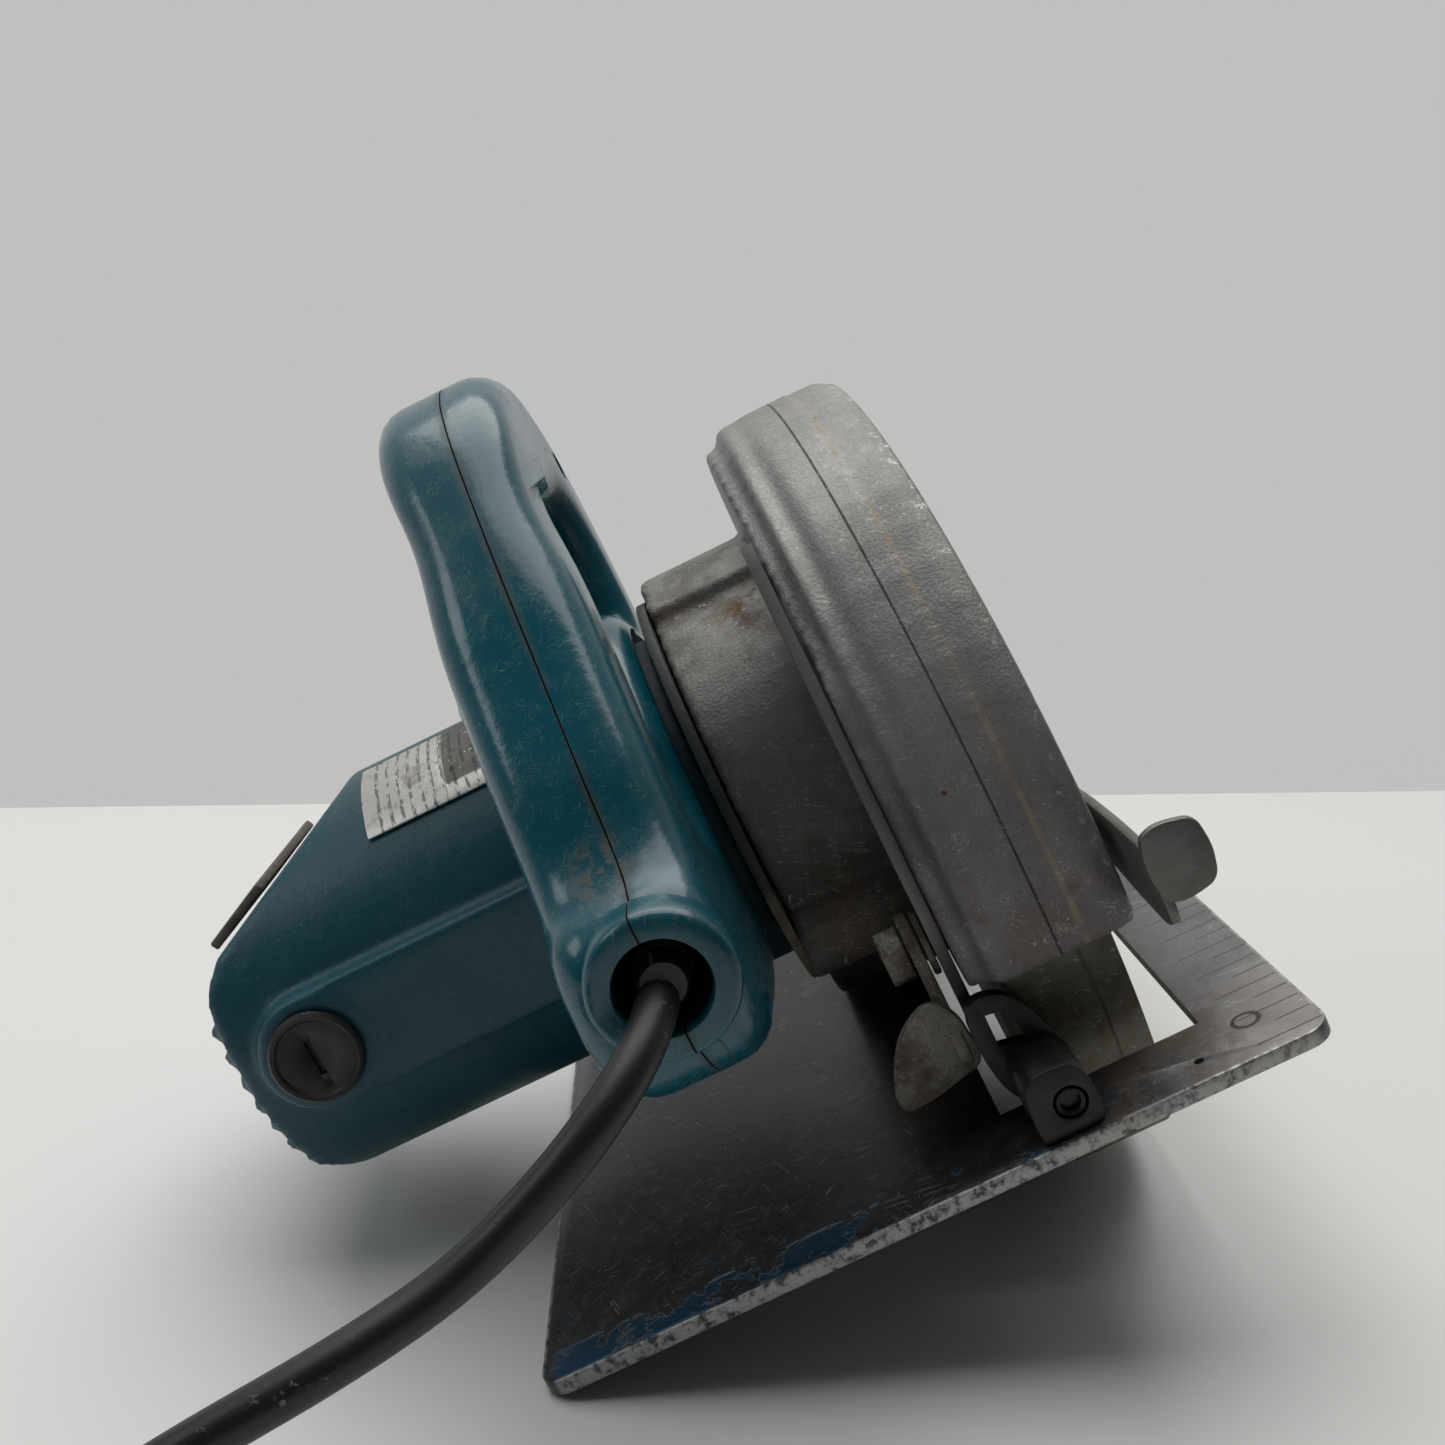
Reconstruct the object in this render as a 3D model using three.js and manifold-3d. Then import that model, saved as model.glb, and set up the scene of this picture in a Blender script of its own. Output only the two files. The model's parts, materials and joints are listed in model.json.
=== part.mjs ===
// Corded circular saw of the 160 mm class, lying as it rests when put down: rolled onto the
// left edge of its base with the lower guard's rim on the table. Millimetres, +Z up.
// Every part is drawn in the saw's own frame first: X forward from the base's rear edge,
// Y left from the base's left edge (so the saw lies at negative Y), Z up from the sole.
import * as THREE from "three";
import { mergeVertices } from "three/addons/utils/BufferGeometryUtils.js";
import Module from "manifold-3d";

const wasm = await Module();
wasm.setup();

// base
const BASE_LENGTH = 252;
const BASE_WIDTH = 150;
const BASE_THICK = 3;
const SLOT = { x0: 19.2, x1: 208, right: -132, left: -92.5 };
// blade and guards
const BLADE_X = 107;
const BLADE_Z = 39.1;
const BLADE_R = 82.5;
const BLADE_Y = -114; // middle plane of the blade
const BLADE_TEETH = 24;
const GUARD_R = 89;
const GUARD_RIGHT = -124.4;
const GUARD_LEFT = -103.2;
const CASE_R = 94;
const CASE_LEFT = -101;
const CASE_RIGHT = -129.5;
// gears: module and teeth set the distance from the motor shaft to the blade spindle
const MODULE_MM = 1.1;
const PINION_TEETH = 10;
const GEAR_TEETH = 52;
const GEAR_DISTANCE = (MODULE_MM * (PINION_TEETH + GEAR_TEETH)) / 2;
const MOTOR_ANGLE = THREE.MathUtils.degToRad(133); // from the spindle up and back to the shaft
const MOTOR_X = BLADE_X + GEAR_DISTANCE * Math.cos(MOTOR_ANGLE);
const MOTOR_Z = BLADE_Z + GEAR_DISTANCE * Math.sin(MOTOR_ANGLE);
const MOTOR_R = 38.5;
const MOTOR_END = 37.6;
const BRUSH_Y = 20.5;
// handle: two halves that meet on HANDLE_Y
const HANDLE_Y = -56.4;
const HANDLE_RIGHT = -67.2;
const HANDLE_LEFT = -40.5;
const HANDLE_WALL = 3.2;
// pivots of the base
const PIVOT_X = 226;
const PIVOT_Z = 19;
const BEVEL_Y = -104.2;
const BEVEL_Z = 9;
// depth clamp: where its bolt crosses the case's left wall
const CLAMP_X = 27.5;
const CLAMP_Z = 36;
// the saw has rolled about its base's left edge until the guard's rim meets the table
const ROLL = Math.atan2(GUARD_R - BLADE_Z, -GUARD_LEFT);
// supply cord, in the table's frame: X forward, Y left, Z up from the table
const CORD_R = 3.4;
const COIL_X = -100;
const COIL_Y = 120;
const COIL_MID_R = 38;
const COIL_HALF = 10.6;

// ---- small kit ----------------------------------------------------------------------------

function solid(geometry) {
  const g = geometry.index ? geometry.toNonIndexed() : geometry.clone();
  g.deleteAttribute("normal");
  g.deleteAttribute("uv");
  const merged = mergeVertices(g, 1e-4);
  const mesh = new wasm.Mesh({
    numProp: 3,
    vertProperties: merged.attributes.position.array,
    triVerts: new Uint32Array(merged.index.array),
  });
  return new wasm.Manifold(mesh);
}

function geometryOf(body) {
  const mesh = body.getMesh();
  const g = new THREE.BufferGeometry();
  const points = new Float32Array((mesh.vertProperties.length / mesh.numProp) * 3);
  for (let i = 0; i < points.length / 3; i++) {
    for (let j = 0; j < 3; j++) points[3 * i + j] = mesh.vertProperties[mesh.numProp * i + j];
  }
  g.setAttribute("position", new THREE.BufferAttribute(points, 3));
  g.setIndex(new THREE.BufferAttribute(new Uint32Array(mesh.triVerts), 1));
  return g;
}

function join(...geometries) {
  return geometryOf(wasm.Manifold.union(geometries.map(solid)));
}

function cut(geometry, ...tools) {
  return geometryOf(wasm.Manifold.difference([geometry, ...tools].map(solid)));
}

function meet(...geometries) {
  return geometryOf(wasm.Manifold.intersection(geometries.map(solid)));
}

function box(x0, x1, y0, y1, z0, z1) {
  const g = new THREE.BoxGeometry(x1 - x0, y1 - y0, z1 - z0);
  return g.translate((x0 + x1) / 2, (y0 + y1) / 2, (z0 + z1) / 2);
}

function outline(points) {
  return new THREE.Shape(points.map(([a, b]) => new THREE.Vector2(a, b)));
}

// closed smooth outline through a few points
function smooth(points, steps) {
  const curve = new THREE.CatmullRomCurve3(
    points.map(([a, b]) => new THREE.Vector3(a, b, 0)),
    true,
    "centripetal",
  );
  return curve.getPoints(steps).slice(0, -1).map((p) => [p.x, p.y]);
}

function curved(points, steps) {
  return outline(smooth(points, steps));
}

function slab(shape, depth, bevel = 0, rounds = 3, arcSteps = 6) {
  const thick = depth - 2 * bevel;
  const g = new THREE.ExtrudeGeometry(shape, {
    depth: thick,
    curveSegments: arcSteps,
    bevelEnabled: bevel > 0,
    bevelThickness: bevel,
    bevelSize: bevel,
    bevelOffset: -bevel,
    bevelSegments: rounds,
  });
  return g.translate(0, 0, bevel);
}

// profile in (x, z), thickness from y0 up to y1
function alongY(shape, y0, y1, bevel = 0, rounds = 3, arcSteps = 6) {
  return slab(shape, y1 - y0, bevel, rounds, arcSteps).rotateX(Math.PI / 2).translate(0, y1, 0);
}

// profile in (y, z), thickness from x0 up to x1
function alongX(shape, x0, x1, bevel = 0, rounds = 3) {
  const turn = new THREE.Matrix4().makeBasis(
    new THREE.Vector3(0, 1, 0),
    new THREE.Vector3(0, 0, 1),
    new THREE.Vector3(1, 0, 0),
  );
  return slab(shape, x1 - x0, bevel, rounds).applyMatrix4(turn).translate(x0, 0, 0);
}

// profile in (x, y), thickness from z0 up to z1
function alongZ(shape, z0, z1, bevel = 0) {
  return slab(shape, z1 - z0, bevel).translate(0, 0, z0);
}

function rodY(x, z, r, y0, y1, sides = 24) {
  return new THREE.CylinderGeometry(r, r, y1 - y0, sides).translate(x, (y0 + y1) / 2, z);
}

function rodX(y, z, r, x0, x1, sides = 18) {
  const g = new THREE.CylinderGeometry(r, r, x1 - x0, sides).rotateZ(-Math.PI / 2);
  return g.translate((x0 + x1) / 2, y, z);
}

function rodZ(x, y, r, z0, z1, sides = 18) {
  const g = new THREE.CylinderGeometry(r, r, z1 - z0, sides).rotateX(Math.PI / 2);
  return g.translate(x, y, (z0 + z1) / 2);
}

// a ring about an axis along Y
function ringY(x, z, inner, outer, y0, y1, sides = 32) {
  const profile = [
    [inner, y0],
    [outer, y0],
    [outer, y1],
    [inner, y1],
    [inner, y0],
  ].map(([r, y]) => new THREE.Vector2(r, y));
  return new THREE.LatheGeometry(profile, sides).translate(x, 0, z);
}

// sector of a ring in (x, z), angles in degrees from +x towards +z
function sector(cx, cz, inner, outer, from, to, steps = 32) {
  const points = [];
  for (let i = 0; i <= steps; i++) {
    const a = THREE.MathUtils.degToRad(from + ((to - from) * i) / steps);
    points.push([cx + outer * Math.cos(a), cz + outer * Math.sin(a)]);
  }
  for (let i = steps; i >= 0; i--) {
    const a = THREE.MathUtils.degToRad(from + ((to - from) * i) / steps);
    points.push([cx + inner * Math.cos(a), cz + inner * Math.sin(a)]);
  }
  return outline(points);
}

function gearOutline(cx, cz, teeth, module, turn) {
  const root = (module * teeth) / 2 - 1.3 * module;
  const tip = (module * teeth) / 2 + 0.85 * module;
  const points = [];
  for (let i = 0; i < teeth; i++) {
    const at = (2 * Math.PI * (i + turn)) / teeth;
    const tooth = (2 * Math.PI) / teeth;
    for (const [r, f] of [
      [root, -0.33],
      [tip, -0.115],
      [tip, 0.115],
      [root, 0.33],
    ]) {
      const a = at + f * tooth;
      points.push([cx + r * Math.cos(a), cz + r * Math.sin(a)]);
    }
  }
  return outline(points);
}

const METAL = { cast: [0x8a8c8b, 0.55, 0.9], steel: [0xa9abab, 0.35, 1.0] };
METAL.dark = [0x3d3d3f, 0.6, 0.8];
METAL.brass = [0xb59a5a, 0.35, 1.0];
METAL.copper = [0xa8663c, 0.4, 1.0];
METAL.guard = [0x77776c, 0.6, 0.85];
const PLASTIC = { teal: [0x0f5560, 0.32, 0.0], black: [0x191a1b, 0.55, 0.0] };
PLASTIC.grey = [0x5f5b54, 0.7, 0.0];
PLASTIC.cream = [0xb9ad93, 0.75, 0.0];
PLASTIC.rubber = [0x232426, 0.7, 0.0];

const saw = new THREE.Group();

function part(name, geometry, [color, roughness, metalness], holder = saw) {
  const material = new THREE.MeshStandardMaterial({ color, roughness, metalness });
  const mesh = new THREE.Mesh(geometry, material);
  mesh.name = name;
  holder.add(mesh);
  return mesh;
}

// ---- base ---------------------------------------------------------------------------------

function basePlate() {
  const r = 5;
  const shape = new THREE.Shape();
  shape.moveTo(r, -BASE_WIDTH);
  shape.lineTo(BASE_LENGTH - r, -BASE_WIDTH);
  shape.absarc(BASE_LENGTH - r, -BASE_WIDTH + r, r, -Math.PI / 2, 0);
  shape.lineTo(BASE_LENGTH, -126);
  shape.lineTo(BASE_LENGTH - 7, -123);
  shape.lineTo(BASE_LENGTH - 7, -106);
  shape.lineTo(BASE_LENGTH, -103);
  shape.absarc(BASE_LENGTH - r, -r, r, 0, Math.PI / 2);
  shape.absarc(r, -r, r, Math.PI / 2, Math.PI);
  shape.absarc(r, -BASE_WIDTH + r, r, Math.PI, 1.5 * Math.PI);
  const plate = alongZ(shape, 0, BASE_THICK);
  const slot = box(SLOT.x0, SLOT.x1, SLOT.right, SLOT.left, -5, 10);
  const tiny = rodZ(7, -127.5, 0.9, -5, 10, 12);
  // rolled lips stiffen the front and left edges
  const frontLip = box(BASE_LENGTH - 3, BASE_LENGTH, -92, -12, 1, 9);
  return cut(join(plate, frontLip), slot, tiny);
}

function bevelQuadrant() {
  // upright bent from the base: the bevel pin goes through its foot, the clamp through its arc slot
  const cy = BEVEL_Y;
  const cz = BEVEL_Z;
  const arc = alongX(sector(cy, cz, 31, 46, 48, 118, 18), 240.4, 243.2);
  const web = alongX(
    outline([[cy - 7, 3.3], [cy + 34, 3.3], [cy + 30, 32], [cy - 12, 42], [cy - 12, 20]]),
    240.4,
    243.2,
  );
  const bend = box(228, 243.2, cy + 15, cy + 34, 3.3, 6);
  const slot = alongX(sector(cy, cz, 35.2, 41.8, 53, 109, 16), 235, 248);
  const window_ = alongX(sector(cy, cz, 14, 29.5, 62, 104, 10), 235, 248);
  return cut(join(arc, web, bend), slot, window_, rodX(cy, cz, 4.3, 230, 250));
}

function rearBracket() {
  // block that carries the rear bevel bolt, standing on the base behind the slot
  const block = alongX(
    outline([[-97.2, 3.3], [-108.6, 3.3], [-108.6, 13], [-106, 16], [-99.5, 16], [-97.2, 12.5]]),
    5,
    15,
  );
  return cut(block, rodX(BEVEL_Y, BEVEL_Z, 2.9, 0, 30));
}

function ripScrew() {
  const head = rodZ(240, -26, 6.5, 12, 18, 12);
  const shank = rodZ(240, -26, 2.4, 3.3, 12.2, 12);
  return join(head, shank);
}

// ---- bevel bracket and depth guide --------------------------------------------------------

function frontYoke() {
  const cy = BEVEL_Y;
  const cz = BEVEL_Z;
  const plate = alongX(
    curved([[cy - 5, 10], [cy - 1, 4.2], [cy + 4, 5.4], [cy + 9, 14], [cy + 22, 34], [cy + 24, 45],
      [cy + 16, 47], [cy + 8, 34], [cy - 4, 31], [cy - 9.4, 28], [cy - 9.6, 16]], 44),
    236.8,
    240,
  );
  const lug = curved([[217, 14], [226, 11.5], [238.5, 14], [238.5, 27], [226, 28.5], [217, 25]], 26);
  const right = alongY(lug, -113.6, -110.7);
  const left = alongY(lug, -101, -97.9);
  const pinHole = rodY(PIVOT_X, PIVOT_Z, 4.3, -130, -90);
  const clampHole = rodX(cy + 20.2, cz + 33, 3.3, 230, 250);
  return cut(join(plate, left, right), pinHole, rodX(cy, cz, 4.3, 230, 250), clampHole);
}

function depthPin() {
  const shank = rodY(PIVOT_X, PIVOT_Z, 4, -116, -96.4, 24);
  const head = rodY(PIVOT_X, PIVOT_Z, 6.2, -97.6, -93.6, 6);
  return join(shank, head);
}

function bevelPin() {
  const shank = rodX(BEVEL_Y, BEVEL_Z, 4, 236, 244, 20);
  const head = rodX(BEVEL_Y, BEVEL_Z, 5.5, 243.5, 247, 20);
  return join(shank, head);
}

function bevelWingBolt() {
  const y = BEVEL_Y + 20.2;
  const z = BEVEL_Z + 33;
  const shank = rodX(y, z, 2.7, 233, 245, 16);
  const hub = rodX(y, z, 5.6, 243.6, 249, 16);
  const wing = box(245, 248.6, y - 13, y + 13, z - 1.8, z + 1.8);
  return join(shank, hub, wing);
}

function depthGuide() {
  // bent sheet: a hooked foot on the rear bevel bolt, and a slotted arm curved about the front pivot
  const reach = Math.hypot(PIVOT_X - CLAMP_X, PIVOT_Z - CLAMP_Z);
  const arm = alongY(sector(PIVOT_X, PIVOT_Z, reach - 7, reach + 7, 152.5, 182.5, 24), -96.9, -94.7);
  const slot = alongY(sector(PIVOT_X, PIVOT_Z, reach - 3.4, reach + 3.4, 155, 177, 22), -99, -90);
  const foot = alongX(
    curved([[-94.7, 25], [-94.7, 12], [-97.5, 5.8], [-102, 4.1], [-106, 4.8], [-108.2, 9], [-107.4, 15],
      [-105, 22], [-101.6, 26], [-97, 27]], 40),
    15.4,
    18.2,
  );
  const web = alongY(outline([[15.4, 12], [26, 8], [30, 12], [30, 27], [15.4, 26.5]]), -96.9, -94.7);
  const window_ = alongX(outline([[-97.6, 17], [-102.6, 16], [-101.6, 23], [-97.6, 23.6]]), 10, 18.9);
  return cut(join(cut(join(arm, web), slot), foot), window_, rodX(BEVEL_Y, BEVEL_Z, 2.9, 0, 30));
}

function rearPivotBolt() {
  const shank = rodX(BEVEL_Y, BEVEL_Z, 2.6, 2.5, 21, 16);
  const head = rodX(BEVEL_Y, BEVEL_Z, 4.4, 1.6, 4.7, 20);
  return cut(join(shank, head), rodX(BEVEL_Y, BEVEL_Z, 2.1, 0, 3.4, 6));
}

// ---- blade case and gear train ------------------------------------------------------------

function bladeCase() {
  const inner = CASE_R - 3;
  const limit = box(-20, 230, -150, -60, 28, 160);
  const disc = new THREE.Shape().absarc(BLADE_X, BLADE_Z, CASE_R, 0, 2 * Math.PI);
  const full = alongY(disc, CASE_RIGHT, CASE_LEFT + 0.2, 3.2, 2, 32);
  const hollow = rodY(BLADE_X, BLADE_Z, inner, CASE_RIGHT + 3, CASE_LEFT - 0.8, 56);
  const open = rodY(BLADE_X, BLADE_Z, 70, -140, -125, 48);
  const band = cut(meet(full, limit), hollow, open);
  const wall = meet(rodY(BLADE_X, BLADE_Z, CASE_R - 4, CASE_LEFT - 1, -97.3, 48), limit);
  // barrel of the gear housing, from the baffle plate to the case
  const barrel = [
    rodY(MOTOR_X, MOTOR_Z, 41, CASE_LEFT, -72.4, 48),
    rodY(BLADE_X, BLADE_Z + 1, 36, CASE_LEFT, -72.4, 48),
    alongY(outline([[74, 95], [104, 92], [104, 108], [97, 111], [86, 111], [74, 107]]), -98, -72.4),
    rodY(45, 37.5, 5.6, -98, -72.4, 18),
    box(45, 60, -98, -72.4, 33, 45),
  ];
  const nose = alongY(
    curved([[186, 36], [198, 24], [214, 14], [226, 12.4], [233, 19], [228, 27], [212, 36], [196, 52],
      [186, 62]], 32),
    -110.4,
    -101.3,
  );
  const body = join(band, wall, ...barrel, cut(nose, rodY(BLADE_X, BLADE_Z, inner, -121, -100, 72)));
  const holes = [
    rodY(BLADE_X, BLADE_Z, 31, CASE_LEFT - 5, -79.5, 48),
    rodY(BLADE_X, BLADE_Z, 34.3, CASE_LEFT - 5, -93.3, 48),
    rodY(BLADE_X, BLADE_Z, 6.3, -96, -75.5, 24),
    rodY(MOTOR_X, MOTOR_Z, 7.6, -94, -79.4, 24),
    rodY(MOTOR_X, MOTOR_Z, 11.3, -80, -60, 32),
    rodY(PIVOT_X, PIVOT_Z, 4.3, -130, -95),
    rodY(CLAMP_X, CLAMP_Z, 3.3, -110, -90),
  ];
  return cut(body, ...holes);
}

function bearingBox() {
  const flange = rodY(BLADE_X, BLADE_Z, 34, -100.8, -93.6, 48);
  const hub = rodY(BLADE_X, BLADE_Z, 18, -107.2, -100.5, 36);
  const seat = rodY(BLADE_X, BLADE_Z, 14.3, -103.6, -90, 36);
  const bore = rodY(BLADE_X, BLADE_Z, 7.2, -110, -90, 24);
  return cut(join(flange, hub), seat, bore);
}

function ballBearing(x, z, bore, outer, y0, y1) {
  return ringY(x, z, bore, outer, y0, y1, 24);
}

function spindle() {
  const shaft = rodY(BLADE_X, BLADE_Z, 6, -112.6, -75.8, 28);
  const tail = rodY(BLADE_X, BLADE_Z, 5, -116.4, -112, 28);
  const thread = rodY(BLADE_X, BLADE_Z, 3.2, -120, -96, 16);
  return cut(join(shaft, tail), thread);
}

function driveGear() {
  const mesh = 0.5 + (GEAR_TEETH * MOTOR_ANGLE) / (2 * Math.PI); // a gap faces the pinion
  const gear = alongY(gearOutline(BLADE_X, BLADE_Z, GEAR_TEETH, MODULE_MM, mesh), -91.6, -82);
  const hub = rodY(BLADE_X, BLADE_Z, 11, -93, -80.6, 28);
  return cut(join(gear, hub), rodY(BLADE_X, BLADE_Z, 6.25, -99, -70, 28));
}

function flangeDisc(y0, y1, reach, bore) {
  return ringY(BLADE_X, BLADE_Z, bore, reach, y0, y1, 36);
}

function blade() {
  const points = [];
  for (let i = 0; i < BLADE_TEETH; i++) {
    const step = (2 * Math.PI) / BLADE_TEETH;
    for (const [r, f] of [
      [BLADE_R, 0],
      [BLADE_R - 0.6, 0.12],
      [BLADE_R - 4.5, 0.5],
      [BLADE_R - 8.5, 0.74],
      [BLADE_R - 8.8, 0.86],
      [BLADE_R - 6.5, 0.95],
    ]) {
      const a = -(i + f) * step;
      points.push([BLADE_X + r * Math.cos(a), BLADE_Z + r * Math.sin(a)]);
    }
  }
  const disc = alongY(outline(points.reverse()), BLADE_Y - 0.9, BLADE_Y + 0.9);
  return cut(disc, rodY(BLADE_X, BLADE_Z, 5.3, -120, -105, 28));
}

function bladeBolt() {
  const head = rodY(BLADE_X, BLADE_Z, 7.5, -124.6, -119.6, 6);
  const washer = rodY(BLADE_X, BLADE_Z, 8.6, -120.2, -119.2, 24);
  const shank = rodY(BLADE_X, BLADE_Z, 2.9, -119.8, -99, 16);
  return join(head, washer, shank);
}

// ---- lower guard --------------------------------------------------------------------------

function lowerGuard() {
  const from = -186;
  const to = -4;
  const right = GUARD_RIGHT;
  const left = GUARD_LEFT;
  const shell = alongY(sector(BLADE_X, BLADE_Z, 21, GUARD_R, from, to, 56), right, left);
  const hub = ringY(BLADE_X, BLADE_Z, 18.4, 24, -106.2, left, 40);
  const hollow = rodY(BLADE_X, BLADE_Z, GUARD_R - 3, right + 2.4, left - 2.6, 72);
  const wide = rodY(BLADE_X, BLADE_Z, 44, right - 2, right + 3, 40);
  const lip = alongY(sector(BLADE_X, BLADE_Z, GUARD_R - 3, GUARD_R, from, to, 56), right, left);
  return join(cut(shell, hollow, wide), hub, lip);
}

function guardLever() {
  // sheet lever outside the case, its lug bent out to the right for the hand
  const arm = alongY(
    outline([[-3, 36.4], [0, 31.2], [5, 30.5], [42, 33], [56, 31], [56, 43], [42, 45], [24, 46.5],
      [16, 46], [-3, 47]]),
    -133.2,
    -131.3,
  );
  const foot = box(44, 55, -132, -124.7, 32.5, 42);
  const tab = alongX(
    outline([[-132, 36.5], [-137.4, 35.8], [-141.3, 38.6], [-141.9, 42.5], [-139.4, 47.7],
      [-135.5, 48.9], [-132, 47]]),
    -3,
    -1,
  );
  return join(arm, foot, tab);
}

// ---- motor --------------------------------------------------------------------------------

function motorHousing() {
  const ring = [];
  for (let i = 0; i < 64; i++) {
    const a = (2 * Math.PI * i) / 64;
    ring.push([MOTOR_X + MOTOR_R * Math.cos(a), Math.max(26.5, MOTOR_Z + MOTOR_R * Math.sin(a))]);
  }
  const tube = alongY(outline(ring), -43, MOTOR_END);
  const neck = rodY(MOTOR_X, MOTOR_Z, 37, -69.7, -42, 56);
  const view = outline([
    [-80, 20], [-80, 120], [-1, 120], [1, 102], [33, 85.5], [36.5, 81], [MOTOR_END, 77], [MOTOR_END, 36],
    [34, 29], [28, 20],
  ]);
  const taper = alongX(view, 20, 140);
  const z = MOTOR_Z - 1.5;
  const panel = box(MOTOR_X - 41.4, MOTOR_X, -40, BRUSH_Y, z - 12, z + 12);
  const pad = join(rodX(BRUSH_Y, z, 12, MOTOR_X - 42, MOTOR_X, 32), panel);
  const frontPad = rodX(BRUSH_Y, z, 12, MOTOR_X, MOTOR_X + 42, 32);
  const ribs = [];
  for (let i = 0; i < 7; i++) {
    const level = 39 + 5.6 * i;
    const half = Math.sqrt(MOTOR_R ** 2 - (level - MOTOR_Z) ** 2) - 3;
    ribs.push(rodX(MOTOR_END + 0.5, level, 2.1, MOTOR_X - half, MOTOR_X + half, 8));
  }
  const outer = join(meet(join(tube, pad), taper), frontPad, neck, ...ribs);
  const bore = rodY(MOTOR_X, MOTOR_Z, 34.4, -75, 25, 56);
  const tailBore = rodY(MOTOR_X, MOTOR_Z, 20, 20, 30, 40);
  const bearing = rodY(MOTOR_X, MOTOR_Z, 9.8, 28, 35.2, 28);
  const brushes = rodX(BRUSH_Y, z, 7.6, MOTOR_X - 50, MOTOR_X + 50, 28);
  return cut(outer, bore, tailBore, bearing, brushes);
}

function motorEndCover() {
  // vented cover on the outer half of the housing's slanted shoulder
  const shape = outline([[20, 92.95], [20.9, 94.75], [35.4, 87.55], [34.5, 85.75]]);
  const profile = alongX(shape, MOTOR_X - 24, MOTOR_X + 25);
  const gaps = [];
  for (let i = 0; i < 4; i++) gaps.push(box(MOTOR_X - 20 + 11 * i, MOTOR_X - 12 + 11 * i, 23, 32, 60, 120));
  return cut(profile, ...gaps);
}

function nameplate() {
  const a0 = THREE.MathUtils.degToRad(98);
  const a1 = THREE.MathUtils.degToRad(132);
  const from = THREE.MathUtils.radToDeg(a0);
  const to = THREE.MathUtils.radToDeg(a1);
  return alongY(sector(MOTOR_X, MOTOR_Z, MOTOR_R + 0.4, MOTOR_R + 0.8, from, to, 12), -38, -4);
}

function brushCap(side) {
  const x0 = MOTOR_X + side * 36.6;
  const x1 = MOTOR_X + side * 42.6;
  const x2 = MOTOR_X + side * 42.3;
  const x3 = MOTOR_X + side * 44;
  const body = rodX(BRUSH_Y, MOTOR_Z - 1.5, 7.3, Math.min(x0, x1), Math.max(x0, x1), 28);
  const lip = rodX(BRUSH_Y, MOTOR_Z - 1.5, 9.2, Math.min(x2, x3), Math.max(x2, x3), 28);
  const slot = box(x3 - 0.8, x3 + 0.8, 15.5, 25.5, MOTOR_Z - 2.3, MOTOR_Z - 0.7);
  return cut(join(body, lip), slot);
}

function brushHolder(side) {
  const x0 = MOTOR_X + side * 15.6;
  const x1 = MOTOR_X + side * 36.2;
  const z = MOTOR_Z - 1.5;
  const body = box(Math.min(x0, x1), Math.max(x0, x1), 15.7, 25.3, z - 5.2, z + 5.2);
  const bore = box(Math.min(x0, x1) - 2, Math.max(x0, x1) + 2, 17.2, 23.8, z - 3.7, z + 3.7);
  return cut(body, bore);
}

function brush(side) {
  const x0 = MOTOR_X + side * 13.5;
  const x1 = MOTOR_X + side * 28;
  const z = MOTOR_Z - 1.5;
  return box(Math.min(x0, x1), Math.max(x0, x1), 17.5, 23.5, z - 3.4, z + 3.4);
}

function stator() {
  const ring = ringY(MOTOR_X, MOTOR_Z, 22.4, 34, -36, 2, 40);
  const windows = [];
  for (const turn of [0, Math.PI]) {
    const w = alongY(sector(MOTOR_X, MOTOR_Z, 20, 30, -28, 28, 12), -40, 6);
    w.translate(-MOTOR_X, 0, -MOTOR_Z).rotateY(turn).translate(MOTOR_X, 0, MOTOR_Z);
    windows.push(w);
  }
  return cut(ring, ...windows);
}

function armatureShaft() {
  const shaft = rodY(MOTOR_X, MOTOR_Z, 4, -80.5, 34.6, 20);
  const mesh = (PINION_TEETH * (MOTOR_ANGLE + Math.PI)) / (2 * Math.PI); // a tooth faces the gear
  const pinion = alongY(gearOutline(MOTOR_X, MOTOR_Z, PINION_TEETH, MODULE_MM, mesh), -92.2, -80.3);
  return join(shaft, pinion);
}

function armatureCore() {
  const points = [];
  for (let i = 0; i < 12; i++) {
    for (const [r, f] of [[21.2, -0.4], [21.2, 0.4], [17, 0.42], [17, 0.58]]) {
      const a = (2 * Math.PI * (i + f)) / 12;
      points.push([MOTOR_X + r * Math.cos(a), MOTOR_Z + r * Math.sin(a)]);
    }
  }
  return cut(alongY(outline(points), -38, 4), rodY(MOTOR_X, MOTOR_Z, 4.25, -50, 20, 20));
}

function fan() {
  const plate = rodY(MOTOR_X, MOTOR_Z, 32, -66, -63.6, 40);
  const hub = rodY(MOTOR_X, MOTOR_Z, 10, -66, -52, 24);
  const blades = [];
  for (let i = 0; i < 10; i++) {
    const b = box(9, 31, -63.8, -54, -0.9, 0.9);
    b.rotateY((2 * Math.PI * i) / 10).translate(MOTOR_X, 0, MOTOR_Z);
    blades.push(b);
  }
  return cut(join(plate, hub, ...blades), rodY(MOTOR_X, MOTOR_Z, 4.25, -70, -40, 20));
}

function bafflePlate() {
  const ring = ringY(MOTOR_X, MOTOR_Z, 12.5, 44, -72.1, -70.1, 48);
  return cut(ring, box(MOTOR_X + 10, 160, -80, -60, 40, 110));
}

// ---- handle -------------------------------------------------------------------------------

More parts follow.
